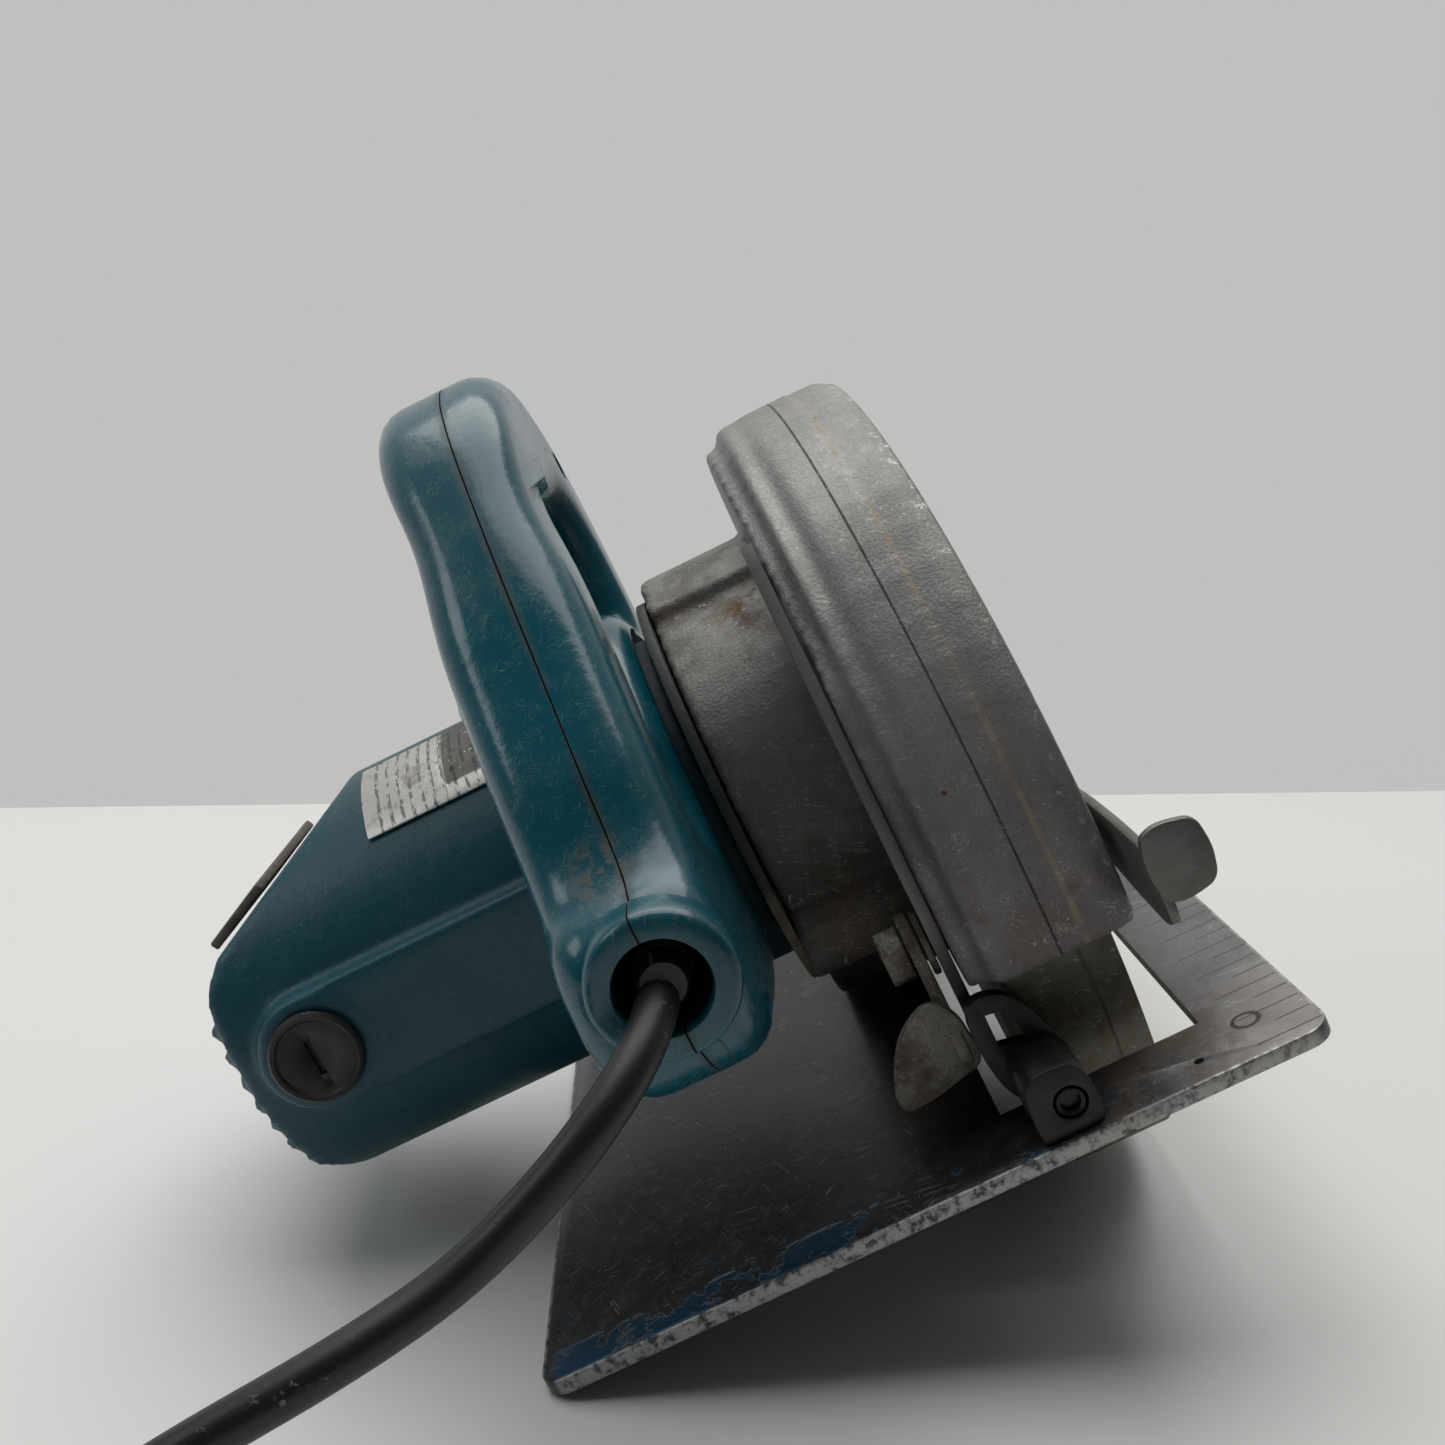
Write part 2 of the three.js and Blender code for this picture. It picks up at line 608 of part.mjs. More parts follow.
const HANDLE_OUT = [
  [-26, 58], [-27.5, 70], [-23, 79.5], [-14, 84], [-3, 100], [8, 115], [17, 127.5], [30, 143], [44, 156],
  [60, 163], [77, 164.6], [95, 163], [111, 156.5], [123, 145], [129.5, 130], [131, 112], [129, 96], [122, 84],
  [96, 82], [74, 82], [56, 66], [52, 50], [50, 39], [30, 38.5], [4, 43.5], [-17, 49.5],
];
const HANDLE_IN = [
  [20, 77], [29, 74], [37, 79], [44, 92], [55, 102], [69, 108.6], [83, 110.4], [96, 108.2],
  [105, 105], [108, 112], [107, 124], [100, 133], [88, 137], [72, 136.5], [58, 131], [47, 122],
  [37, 110], [26, 97], [18, 86],
];

// every point of a closed outline moved inwards (positive) or outwards along its normal
function inset(points, d) {
  const n = points.length;
  return points.map((p, i) => {
    const a = points[(i + n - 1) % n];
    const b = points[(i + 1) % n];
    const l = Math.hypot(b[0] - a[0], b[1] - a[1]);
    return [p[0] + ((b[1] - a[1]) / l) * d, p[1] - ((b[0] - a[0]) / l) * d];
  });
}

function handleBody() {
  const out = smooth(HANDLE_OUT, 72);
  const inn = smooth(HANDLE_IN, 44);
  const y0 = HANDLE_RIGHT;
  const y1 = HANDLE_LEFT;
  const full = alongY(outline(out), y0, y1, 4.6, 2);
  const grip = alongY(outline(inset(inn, 4.6)), y0 - 1, y1 + 1);
  const collar = rodX(HANDLE_Y, 70, 11.6, -30, -10, 28);
  return cut(join(full, collar), grip, rodY(MOTOR_X, MOTOR_Z, 40.4, y0 - 5, y1 + 5, 64));
}

function handleHollow() {
  const out = inset(smooth(HANDLE_OUT, 60), HANDLE_WALL + 1.2);
  const inn = inset(inset(smooth(HANDLE_IN, 40), 4.6), HANDLE_WALL * -1);
  const y0 = HANDLE_RIGHT + HANDLE_WALL;
  const y1 = HANDLE_LEFT - HANDLE_WALL;
  const room = cut(alongY(outline(out), y0, y1), alongY(outline(inn), y0 - 1, y1 + 1));
  const keep = rodY(MOTOR_X, MOTOR_Z, 43.6, y0 - 5, y1 + 5, 64);
  return cut(room, keep);
}

const posts = [[112, 141], [-9, 54], [119, 94], [42, 48]];

function handleHalf(left) {
  const y = HANDLE_Y + (left ? 0.15 : -0.15);
  const side = left ? box(-60, 160, y, -30, 20, 200) : box(-60, 160, -80, y, 20, 200);
  const mouth = rodX(HANDLE_Y, 70, 8, -60, -12, 28);
  const gap = outline([[44, 118], [50, 135], [60, 140], [86, 147], [86, 128], [60, 120]]);
  const window_ = alongY(gap, HANDLE_Y - 7.2, HANDLE_Y + 6);
  const lugs = posts.map(([x, z]) => rodY(x, z, 5, HANDLE_Y - 11, HANDLE_Y + 13, 16));
  const holes = posts.map(([x, z]) => rodY(x, z, 1.9, HANDLE_Y - 14, HANDLE_Y + 8, 12));
  const sinks = posts.map(([x, z]) => rodY(x, z, 3.4, HANDLE_Y - 20, HANDLE_Y - 6.4, 16));
  const room = cut(handleHollow(), ...lugs);
  return meet(cut(handleBody(), room, mouth, window_, ...holes, ...sinks), side);
}

function handleScrew([x, z]) {
  const shank = rodY(x, z, 1.6, HANDLE_Y - 7, HANDLE_Y + 7, 10);
  const head = rodY(x, z, 3.1, HANDLE_Y - 9, HANDLE_Y - 6.7, 14);
  return cut(join(shank, head), box(x - 2, x + 2, HANDLE_Y - 10, HANDLE_Y - 8, z - 0.4, z + 0.4));
}

function trigger() {
  const lever = curved([[50, 114.5], [57, 117], [66, 123.5], [78, 131], [85, 138], [86, 143],
    [80, 143.5], [66, 137.5], [56, 131], [50, 122]], 30);
  return alongY(lever, -62.8, -51.2, 1.6, 2);
}

function switchBody() {
  const shape = outline([[54, 143.5], [56, 139], [66, 143.4], [84, 149], [79, 158], [62, 154]]);
  return alongY(shape, HANDLE_Y - 7.2, HANDLE_Y + 7);
}

function cordClamp() {
  return box(-7.5, -2, -63.5, -46.5, 63.2, 66);
}

function frontKnob() {
  const profile = [
    [0, 0], [7.5, 0], [8, 3], [11.5, 10], [13.4, 20], [12.8, 32], [9.6, 42], [4.5, 46.5], [0, 47.5], [0, 0],
  ].map(([r, h]) => new THREE.Vector2(r, h));
  const knob = new THREE.LatheGeometry(profile.slice(0, -1), 28).rotateX(Math.PI / 2);
  const tilt = THREE.MathUtils.degToRad(60);
  return knob.rotateY(tilt).translate(MOTOR_X + 42.2, -28, MOTOR_Z + 20);
}

// ---- depth lever --------------------------------------------------------------------------

function depthLever() {
  const arm = alongY(
    curved([[22, 39.5], [27.5, 43], [33, 38], [31.5, 31], [25, 21], [19.5, 14.5], [15.5, 18], [20, 28]], 28),
    -92.7,
    -90.3,
  );
  const paddle = alongX(
    outline([[-92.7, 24.5], [-93.2, 18], [-92.4, 14.8], [-78.5, 12], [-77, 16.5], [-80.5, 24], [-88, 29]]),
    16.8,
    19.2,
  );
  return cut(join(arm, paddle), rodY(CLAMP_X, CLAMP_Z, 3.4, -100, -85));
}

function depthBolt() {
  const shank = rodY(CLAMP_X, CLAMP_Z, 3, -100.5, -87, 18);
  const head = rodY(CLAMP_X, CLAMP_Z, 5.6, -90, -85.4, 6);
  const washer = rodY(CLAMP_X, CLAMP_Z, 6.2, -94.4, -93, 18);
  return join(shank, head, washer);
}

// ---- supply cord --------------------------------------------------------------------------

function cordTube() {
  // out of the handle's mouth, down over the motor's side and round towards the coil
  const path = new THREE.CatmullRomCurve3([
    new THREE.Vector3(-13, -20.5, 87.6),
    new THREE.Vector3(-23, -20.5, 87.6),
    new THREE.Vector3(-34.4, -19.2, 82.9),
    new THREE.Vector3(-43.4, -12.7, 75.8),
    new THREE.Vector3(-47.4, -6.1, 68.2),
    new THREE.Vector3(-49.4, 4.9, 56.6),
    new THREE.Vector3(-54.5, 14.5, 51.5),
    new THREE.Vector3(-60.1, 27, 46.2),
    new THREE.Vector3(-63.7, 39.2, 41.1),
    new THREE.Vector3(-66.3, 52, 34),
    new THREE.Vector3(-66, 66, 26),
    new THREE.Vector3(-62.8, 83, 16.6),
  ]);
  const section = [];
  for (let i = 0; i < 10; i++) {
    const a = (2 * Math.PI * i) / 10;
    section.push([CORD_R * Math.cos(a), CORD_R * Math.sin(a)]);
  }
  return new THREE.ExtrudeGeometry(outline(section), { steps: 22, extrudePath: path, bevelEnabled: false });
}

function cordCoil() {
  const points = [];
  for (let i = 0; i < 8; i++) {
    const a = (2 * Math.PI * (i + 0.5)) / 8;
    const r = COIL_HALF / Math.cos(Math.PI / 8);
    points.push(new THREE.Vector2(COIL_MID_R + r * Math.cos(a), COIL_HALF + 0.1 + r * Math.sin(a)));
  }
  points.push(points[0].clone());
  return new THREE.LatheGeometry(points, 36).rotateX(Math.PI / 2).translate(COIL_X, COIL_Y, 0);
}

function cordPlug() {
  // lies on the coil, in line with the end of its last turn
  const along = THREE.MathUtils.degToRad(165);
  const start = [COIL_X + 33 * Math.cos(along), COIL_Y + 33 * Math.sin(along)];
  const profile = [[0, 0], [4.2, 0], [5.4, 16], [11, 22], [13, 40], [13, 46], [0, 46]];
  const body = new THREE.LatheGeometry(profile.map(([r, h]) => new THREE.Vector2(r, h)), 20);
  const pins = [-5, 5].map((x) => new THREE.CylinderGeometry(2, 2, 20, 12).translate(x, 55, 0));
  return join(body, ...pins).rotateZ(along).translate(start[0], start[1], 2 * COIL_HALF + 13.4);
}

// ---- assembly -----------------------------------------------------------------------------

part("base_plate", basePlate(), METAL.steel);
part("bevel_quadrant", bevelQuadrant(), METAL.steel);
part("rear_bracket", rearBracket(), METAL.dark);
part("rip_fence_screw", ripScrew(), PLASTIC.black);
part("front_yoke", frontYoke(), METAL.cast);
part("depth_pivot_pin", depthPin(), METAL.steel);
part("bevel_pin", bevelPin(), METAL.steel);
part("bevel_wing_bolt", bevelWingBolt(), METAL.steel);
part("depth_guide", depthGuide(), METAL.dark);
part("rear_pivot_bolt", rearPivotBolt(), METAL.dark);
part("blade_case", bladeCase(), METAL.cast);
part("bearing_box", bearingBox(), METAL.cast);
part("spindle_bearing", ballBearing(BLADE_X, BLADE_Z, 6.2, 14, -103.3, -95.4), METAL.steel);
part("spindle", spindle(), METAL.steel);
part("drive_gear", driveGear(), METAL.steel);
part("inner_flange", flangeDisc(-112.8, -107.6, 17, 6.25), METAL.steel);
part("blade", blade(), METAL.steel);
part("outer_flange", flangeDisc(-118.9, -115.2, 17, 5.3), METAL.steel);
part("blade_bolt", bladeBolt(), METAL.dark);
part("lower_guard", lowerGuard(), METAL.guard);
part("guard_lever", guardLever(), METAL.guard);
part("motor_housing", motorHousing(), PLASTIC.teal);
part("motor_end_cover", motorEndCover(), PLASTIC.grey);
part("nameplate", nameplate(), METAL.steel);
part("brush_cap_rear", brushCap(-1), PLASTIC.black);
part("brush_cap_front", brushCap(1), PLASTIC.black);
part("brush_holder_rear", brushHolder(-1), METAL.brass);
part("brush_holder_front", brushHolder(1), METAL.brass);
part("brush_rear", brush(-1), METAL.dark);
part("brush_front", brush(1), METAL.dark);
part("stator", stator(), METAL.dark);
part("armature_shaft", armatureShaft(), METAL.steel);
part("armature_core", armatureCore(), METAL.copper);
part("commutator", ringY(MOTOR_X, MOTOR_Z, 4.25, 13, 9, 28, 30), METAL.copper);
part("fan", fan(), PLASTIC.black);
part("shaft_bearing_rear", ballBearing(MOTOR_X, MOTOR_Z, 4.25, 9.5, 29, 34.9), METAL.steel);
part("shaft_bearing_front", ballBearing(MOTOR_X, MOTOR_Z, 4.25, 11, -79.4, -73), METAL.steel);
part("baffle_plate", bafflePlate(), PLASTIC.cream);
part("handle_left", handleHalf(true), PLASTIC.teal);
part("handle_right", handleHalf(false), PLASTIC.teal);
["top", "rear", "front", "foot"].forEach((where, i) => {
  part("handle_screw_" + where, handleScrew(posts[i]), METAL.steel);
});
part("trigger", trigger(), PLASTIC.black);
part("switch_body", switchBody(), PLASTIC.black);
part("cord_clamp", cordClamp(), PLASTIC.black);
part("front_knob", frontKnob(), PLASTIC.teal);
part("depth_lever", depthLever(), METAL.steel);
part("depth_bolt", depthBolt(), METAL.steel);

saw.rotation.x = -ROLL;

const group = new THREE.Group();
group.add(saw);
group.updateMatrixWorld(true);
const bounds = new THREE.Box3().setFromObject(group, true);
saw.position.set(-(bounds.min.x + bounds.max.x) / 2, -(bounds.min.y + bounds.max.y) / 2, -bounds.min.z);

const cord = new THREE.Group();
cord.position.copy(saw.position);
part("cord_tube", cordTube(), PLASTIC.rubber, cord);
part("cord_coil", cordCoil(), PLASTIC.rubber, cord);
part("cord_plug", cordPlug(), PLASTIC.rubber, cord);
group.add(cord);

export default group;
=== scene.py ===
"""Corded circular saw lying rolled onto the left edge of its base, as it is put down."""
import json
import math

import bmesh
import bpy
from mathutils import Matrix, Vector


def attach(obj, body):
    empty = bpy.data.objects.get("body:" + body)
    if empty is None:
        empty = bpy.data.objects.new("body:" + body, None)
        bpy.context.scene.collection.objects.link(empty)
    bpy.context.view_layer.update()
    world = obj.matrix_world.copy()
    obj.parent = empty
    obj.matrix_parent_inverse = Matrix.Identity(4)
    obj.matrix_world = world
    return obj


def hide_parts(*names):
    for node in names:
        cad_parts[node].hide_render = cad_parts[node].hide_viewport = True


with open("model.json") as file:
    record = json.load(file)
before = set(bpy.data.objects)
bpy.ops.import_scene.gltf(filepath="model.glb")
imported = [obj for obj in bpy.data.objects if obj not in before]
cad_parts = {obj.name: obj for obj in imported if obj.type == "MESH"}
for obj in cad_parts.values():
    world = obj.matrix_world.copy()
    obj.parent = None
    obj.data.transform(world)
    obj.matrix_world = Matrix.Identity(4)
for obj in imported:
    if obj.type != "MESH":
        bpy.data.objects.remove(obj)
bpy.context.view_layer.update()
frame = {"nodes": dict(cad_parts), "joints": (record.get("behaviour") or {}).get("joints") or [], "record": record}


# ---- The saw's own frame -------------------------------------------------------------------
# Pieces are drawn in millimetres: X forward from the base's rear edge, Y left from its left
# edge, Z up from the sole. The depth hinge tells how the saw lies, so SAW takes them there.
hinge = next(j for j in frame["joints"] if j["name"] == "depth_swing")
ROLL = math.atan2(-hinge["axis"][2], hinge["axis"][1])
TURN = Matrix.Rotation(-ROLL, 4, "X")
HINGE_MM = Vector((226, -104.2, 19))
CORNER = Vector(hinge["pos_m"]) - TURN @ (HINGE_MM / 1000)
SAW = Matrix.Translation(CORNER) @ TURN @ Matrix.Scale(0.001, 4)


# ---- Camera --------------------------------------------------------------------------------
# It stands low behind the saw and looks along it, slightly down and to the right.
eye = bpy.data.cameras.new("camera")
eye.sensor_width = 36
eye.lens = 38.96
eye.clip_start = 0.01
camera = bpy.data.objects.new("camera", eye)
bpy.context.scene.collection.objects.link(camera)
DOWN = 0.20442
RIGHT = 0.04714
camera.location = Vector((CORNER.x - 0.24295, CORNER.y - 0.01888, 0.17093))
look = Vector((math.cos(RIGHT) * math.cos(DOWN), -math.sin(RIGHT) * math.cos(DOWN), -math.sin(DOWN)))
camera.rotation_euler = look.to_track_quat("-Z", "Y").to_euler()
bpy.context.scene.camera = camera


# ---- Supply cord ---------------------------------------------------------------------------
# Rubber lead of 6.8 mm that leaves the handle's mouth, falls to the table and is wound into a
# tied coil beside the saw, with its moulded plug on top. Places are in the table's frame.
# Its finish is the first one made: a Wire is one socket of a finish, sums of wires add Math
# nodes, and Finish.node adds any other node from its type, its settings and its inputs.
class Wire:
    def __init__(self, finish, socket):
        self.finish = finish
        self.socket = socket

    def math(self, operation, *others):
        return self.finish.node("ShaderNodeMath", {"operation": operation}, dict(enumerate([self, *others])))

    def __add__(self, other):
        return self.math("ADD", other)

    def __sub__(self, other):
        return self.math("SUBTRACT", other)

    def __rsub__(self, other):
        return self.finish.node("ShaderNodeMath", {"operation": "SUBTRACT"}, {0: other, 1: self})

    def __mul__(self, other):
        return self.math("MULTIPLY", other)

    __radd__ = __add__
    __rmul__ = __mul__

    def step(self, low, high):
        """0 below low and 1 above high, or the other way round, smooth between."""
        settings = {"interpolation_type": "SMOOTHSTEP"}
        return self.finish.node("ShaderNodeMapRange", settings, {0: self, 1: low, 2: high})

    def band(self, middle, half):
        """1 at middle, falling to 0 at half away from it."""
        return (self - middle).math("ABSOLUTE").step(half, half * 0.3)


class Finish:
    def __init__(self, name, color, roughness, metallic=0.0, coat=0.0):
        self.material = bpy.data.materials.new(name)
        self.material.use_nodes = True
        self.tree = self.material.node_tree
        self.shader = self.tree.nodes["Principled BSDF"]
        self.color = color
        self.roughness = roughness
        self.shader.inputs["Metallic"].default_value = metallic
        self.shader.inputs["Coat Weight"].default_value = coat
        self.height = 0.0
        back = Matrix.Rotation(ROLL, 3, "X")
        place = {"Vector": self.node("ShaderNodeTexCoord", {}, {}, "Object"), "Rotation": (ROLL, 0, 0),
                 "Location": tuple(-(back @ CORNER) * 1000), "Scale": (1000, 1000, 1000)}
        self.place = self.node("ShaderNodeMapping", {}, place)

    def node(self, kind, settings, inputs, out=0):
        node = self.tree.nodes.new(kind)
        for key, value in settings.items():
            setattr(node, key, value)
        for key, value in inputs.items():
            if isinstance(value, Wire):
                self.tree.links.new(value.socket, node.inputs[key])
            else:
                node.inputs[key].default_value = value
        return Wire(self, node.outputs[out])

    def grain(self, longer, tilt=(0, 0, 0)):
        """The place with each axis drawn out, after a turn, for marks that run one way."""
        inputs = {"Vector": self.place, "Rotation": tilt, "Scale": longer}
        return self.node("ShaderNodeMapping", {"vector_type": "TEXTURE"}, inputs)

    def axis(self, letter):
        return self.node("ShaderNodeSeparateXYZ", {}, {0: self.place}, letter)

    def noise(self, scale, detail=3.0, rough=0.55, at=None):
        inputs = {"Vector": at or self.place, "Scale": scale, "Detail": detail, "Roughness": rough}
        return self.node("ShaderNodeTexNoise", {}, inputs)

    def cells(self, scale, out="Distance"):
        return self.node("ShaderNodeTexVoronoi", {}, {"Vector": self.place, "Scale": scale}, out)

    def mix(self, amount, first, second):
        """Colour first, covered by second as far as amount says."""
        inputs = {0: amount}
        for key, tone in ((6, first), (7, second)):
            inputs[key] = tone if isinstance(tone, Wire) else (*tone, 1)
        return self.node("ShaderNodeMix", {"data_type": "RGBA"}, inputs, 2)

    def cover(self, amount, color, roughness=None, height=0.0):
        """Lays a colour over the finish where amount is 1: dirt, wear and paint, and in places painted shade and
        painted light.
        """
        self.color = self.mix(amount, self.color, color)
        if roughness is not None:
            self.roughness = amount * roughness + (1 - amount) * self.roughness
        if height:
            self.height = amount * height + self.height

    def near(self, center, radius, soft=0.5):
        """1 within a ball round a place on the saw, fading to 0 at its radius."""
        inputs = {0: self.place, 1: center}
        gap = self.node("ShaderNodeVectorMath", {"operation": "DISTANCE"}, inputs, "Value")
        return gap.step(radius, radius * soft)

    def scratches(self, longer, tilt, scale, width, share):
        """Thin lines along one direction, on the given share of the surface."""
        lines = self.noise(scale, 1.0, 0.5, self.grain(longer, tilt)).band(0.5, width)
        where = self.noise(scale * 0.25, 2.0, 0.5).step(0.62 - share, 0.68 - share)
        return lines * where

    def spots(self, scale, size, share):
        """Scattered round spots; share is how many cells have one."""
        near = self.cells(scale).step(size, size * 0.6)
        pick = self.node("ShaderNodeSeparateColor", {}, {0: self.cells(scale, out="Color")})
        return near * pick.step(1 - share, 1 - share + 0.01)

    def done(self, bump=0.2, distance=0.001):
        if isinstance(self.color, Wire):
            self.tree.links.new(self.color.socket, self.shader.inputs["Base Color"])
        else:
            self.shader.inputs["Base Color"].default_value = (*self.color, 1)
        if isinstance(self.roughness, Wire):
            self.tree.links.new(self.roughness.socket, self.shader.inputs["Roughness"])
        else:
            self.shader.inputs["Roughness"].default_value = self.roughness
        if isinstance(self.height, Wire):
            inputs = {"Height": self.height, "Strength": bump, "Distance": distance}
            normal = self.node("ShaderNodeBump", {}, inputs)
            self.tree.links.new(normal.socket, self.shader.inputs["Normal"])
        return self.material


CORD_R = 3.4
TABLE = Matrix.Translation((CORNER.x, CORNER.y, 0)) @ Matrix.Scale(0.001, 4)
COIL = Vector((-100, 120, 0))
COIL_MID = 38.0
LAY = 6.95  # from one turn to the next
COIL_START = math.radians(-11)
PLUG_END = math.radians(165)
PLUG_HEIGHT = 34.6
PLUG_REACH = 33  # from the coil's middle
MOUTH_HEIGHT = 87.6
LOOSE = [
    (-13, -20.5, MOUTH_HEIGHT), (-23, -20.5, MOUTH_HEIGHT), (-34.4, -19.2, 82.9), (-43.4, -12.7, 75.8),
    (-47.4, -6.1, 68.2), (-49.4, 4.9, 56.6), (-54.5, 14.5, 51.5), (-60.1, 27, 46.2), (-63.7, 39.2, 41.1),
    (-66.3, 52, 34), (-66, 66, 26), (-62.8, 83, 16.6), (-59.4, 97, 8.6),
]


def ease(share):
    share = min(1.0, share)
    return share * share * (3 - 2 * share)


def coil_points():
    """Three layers of turns, wound inwards, outwards and inwards, then the rise to the plug."""
    points = []
    steps = 16
    radius = COIL_MID + LAY
    low = CORD_R + 0.3
    angle = COIL_START
    climb = 0.0
    for way, turns in ((-1, 3), (1, 3), (-1, 2)):
        for i in range(turns * steps):
            share = i / (turns * steps - 1)
            points.append((radius + way * LAY * (turns - 1) * share, angle, low + climb * ease(i / 6)))
            angle += 2 * math.pi / steps
        radius = points[-1][0]
        low += climb
        climb = LAY * 0.92
    rise = 9
    goal = PLUG_END + 2 * math.pi * 8
    for i in range(rise + 1):
        lift = ease(i / rise)
        turned_to = angle + (goal - angle) * i / rise
        points.append((radius - 5 * lift, turned_to, low + (PLUG_HEIGHT - low) * lift))
    return [tuple(COIL + Vector((r * math.cos(a), r * math.sin(a), h))) for r, a, h in points]


rubber = Finish("cord_rubber", (0.007, 0.0075, 0.0085), 0.42)
rubber.cover(rubber.noise(0.03, 4).step(0.5, 0.75) * 0.6, (0.017, 0.018, 0.019), 0.55)
chalk = rubber.noise(0.5, 4, 0.7).step(0.6, 0.66) * rubber.noise(0.05, 2).step(0.52, 0.62)
rubber.cover(chalk * 0.8, (0.2, 0.195, 0.18), 0.8, 0.12)
rubber.cover(rubber.spots(0.22, 0.11, 0.12) * 0.8, (0.2, 0.19, 0.175), 0.8, 0.15)
rubber.cover(rubber.noise(0.12, 4, 0.7).step(0.66, 0.7) * 0.6, (0.12, 0.07, 0.045), 0.8)
rubber.height = rubber.noise(1.6, 3) * 0.1 + rubber.height
rubber.done(0.3)

route = [TABLE @ Vector(p) for p in LOOSE + coil_points()]
line = bpy.data.curves.new("cord", "CURVE")
line.dimensions = "3D"
line.bevel_depth = CORD_R / 1000
line.bevel_resolution = 4
line.resolution_u = 6
line.use_fill_caps = True
spline = line.splines.new("NURBS")
spline.points.add(len(route) - 1)
for point, place in zip(spline.points, route):
    point.co = (*place, 1)
spline.use_endpoint_u = True
spline.order_u = 4
line.materials.append(rubber.material)
cord = bpy.data.objects.new("cord", line)
bpy.context.scene.collection.objects.link(cord)
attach(cord, "saw_body")
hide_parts("cord_tube", "cord_coil")


# ---- Cord's plug, boot and tie -------------------------------------------------------------
# The plug is moulded on, with a ribbed neck and two round pins. A short tapered boot guards
# the lead inside the handle's mouth, and two strips of black tape hold the coil.
def show(bm, name, body, slot, finish, stands_for=(), sharp=40.0, place=SAW):
    """Makes a mesh with its place in it and lets it ride on its body."""
    bmesh.ops.transform(bm, matrix=place, verts=bm.verts)
    mesh = bpy.data.meshes.new(name)
    bm.to_mesh(mesh)
    bm.free()
    mesh.shade_smooth()
    mesh.set_sharp_from_angle(angle=math.radians(sharp))
    mesh.materials.append(finish.material)
    made = bpy.data.objects.new(name, mesh)
    bpy.context.scene.collection.objects.link(made)
    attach(made, body)
    if stands_for:
        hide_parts(*stands_for)
    return made


UPRIGHT = {"X": Matrix.Rotation(math.pi / 2, 4, "Y"), "Y": Matrix.Rotation(-math.pi / 2, 4, "X"),
           "Z": Matrix.Identity(4)}


def turned(profile, center, axis, segments=48):
    """Spins a profile of (radius, height) round a saw axis through center."""
    bm = bmesh.new()
    verts = [bm.verts.new((r, 0, h)) for r, h in profile]
    edges = [bm.edges.new(pair) for pair in zip(verts, verts[1:])]
    bmesh.ops.spin(bm, geom=verts + edges, cent=(0, 0, 0), axis=(0, 0, 1), angle=2 * math.pi,
                   steps=segments, use_merge=True)
    bmesh.ops.remove_doubles(bm, verts=bm.verts, dist=1e-4)
    bmesh.ops.recalc_face_normals(bm, faces=bm.faces)
    bmesh.ops.transform(bm, matrix=Matrix.Translation(center) @ UPRIGHT[axis], verts=bm.verts)
    return bm


def add_rod(bm, center, axis, radius, depth, segments=24):
    """A short cylinder about its middle, with its rim softened."""
    made = bmesh.ops.create_cone(bm, cap_ends=True, segments=segments, radius1=radius, radius2=radius,
                                 depth=depth, matrix=Matrix.Translation(center) @ UPRIGHT[axis])["verts"]
    rim = [e for e in {e for v in made for e in v.link_edges} if e.calc_face_angle() > 1]
    bmesh.ops.bevel(bm, geom=rim, offset=radius * 0.12, segments=2, affect="EDGES", profile=0.5, material=-1)
    return bm


neck = [(0, 0), (4.4, 0), (4.9, 1)]
for rib in range(5):
    wider, up = 0.12 * rib, 3 * rib
    crest, valley = 5.2 + wider, 4.5 + wider
    neck += [(crest, 1.6 + up), (crest, 3.2 + up), (valley, 3.5 + up), (valley, 4.3 + up)]
neck += [(6, 17), (9.5, 20.5), (11.6, 24), (12.6, 30), (12.8, 38), (13, 39), (13, 45.2), (12.4, 46), (0, 46)]
bm = turned(neck, (0, 0, 0), "Z")
for side in (-5, 5):
    add_rod(bm, (side, 0, 55), "Z", 2, 20, 16)
along = Vector((-math.sin(PLUG_END), math.cos(PLUG_END), 0))
outwards = Vector((math.cos(PLUG_END), math.sin(PLUG_END), 0))
tail = COIL + PLUG_REACH * outwards + Vector((0, 0, PLUG_HEIGHT))
face = Matrix.Translation(tail) @ along.to_track_quat("Z", "X").to_matrix().to_4x4()
plug = show(bm, "plug", "saw_body", "cord_rubber", rubber, ["cord_plug"], 35, TABLE @ face)

boot = [(0, 0), (6.6, 0), (6.6, 2)]
for ring in range(5):
    crest, valley, up = 0.4 * ring, 5.2 - 0.3 * ring, 4 * ring
    boot += [(6.3 - crest, 3.4 + up), (valley, 3.8 + up), (valley, 5 + up), (6 - crest, 5.4 + up)]
boot += [(4.0, 25), (3.5, 25.6), (0, 25.6)]
bm = turned(boot, (0, 0, 0), "Z")
place = TABLE @ Matrix.Translation((-3, -20.4, MOUTH_HEIGHT)) @ Matrix.Rotation(-math.pi / 2, 4, "Y")
show(bm, "cord_boot", "saw_body", "cord_rubber", rubber, (), 35, place)

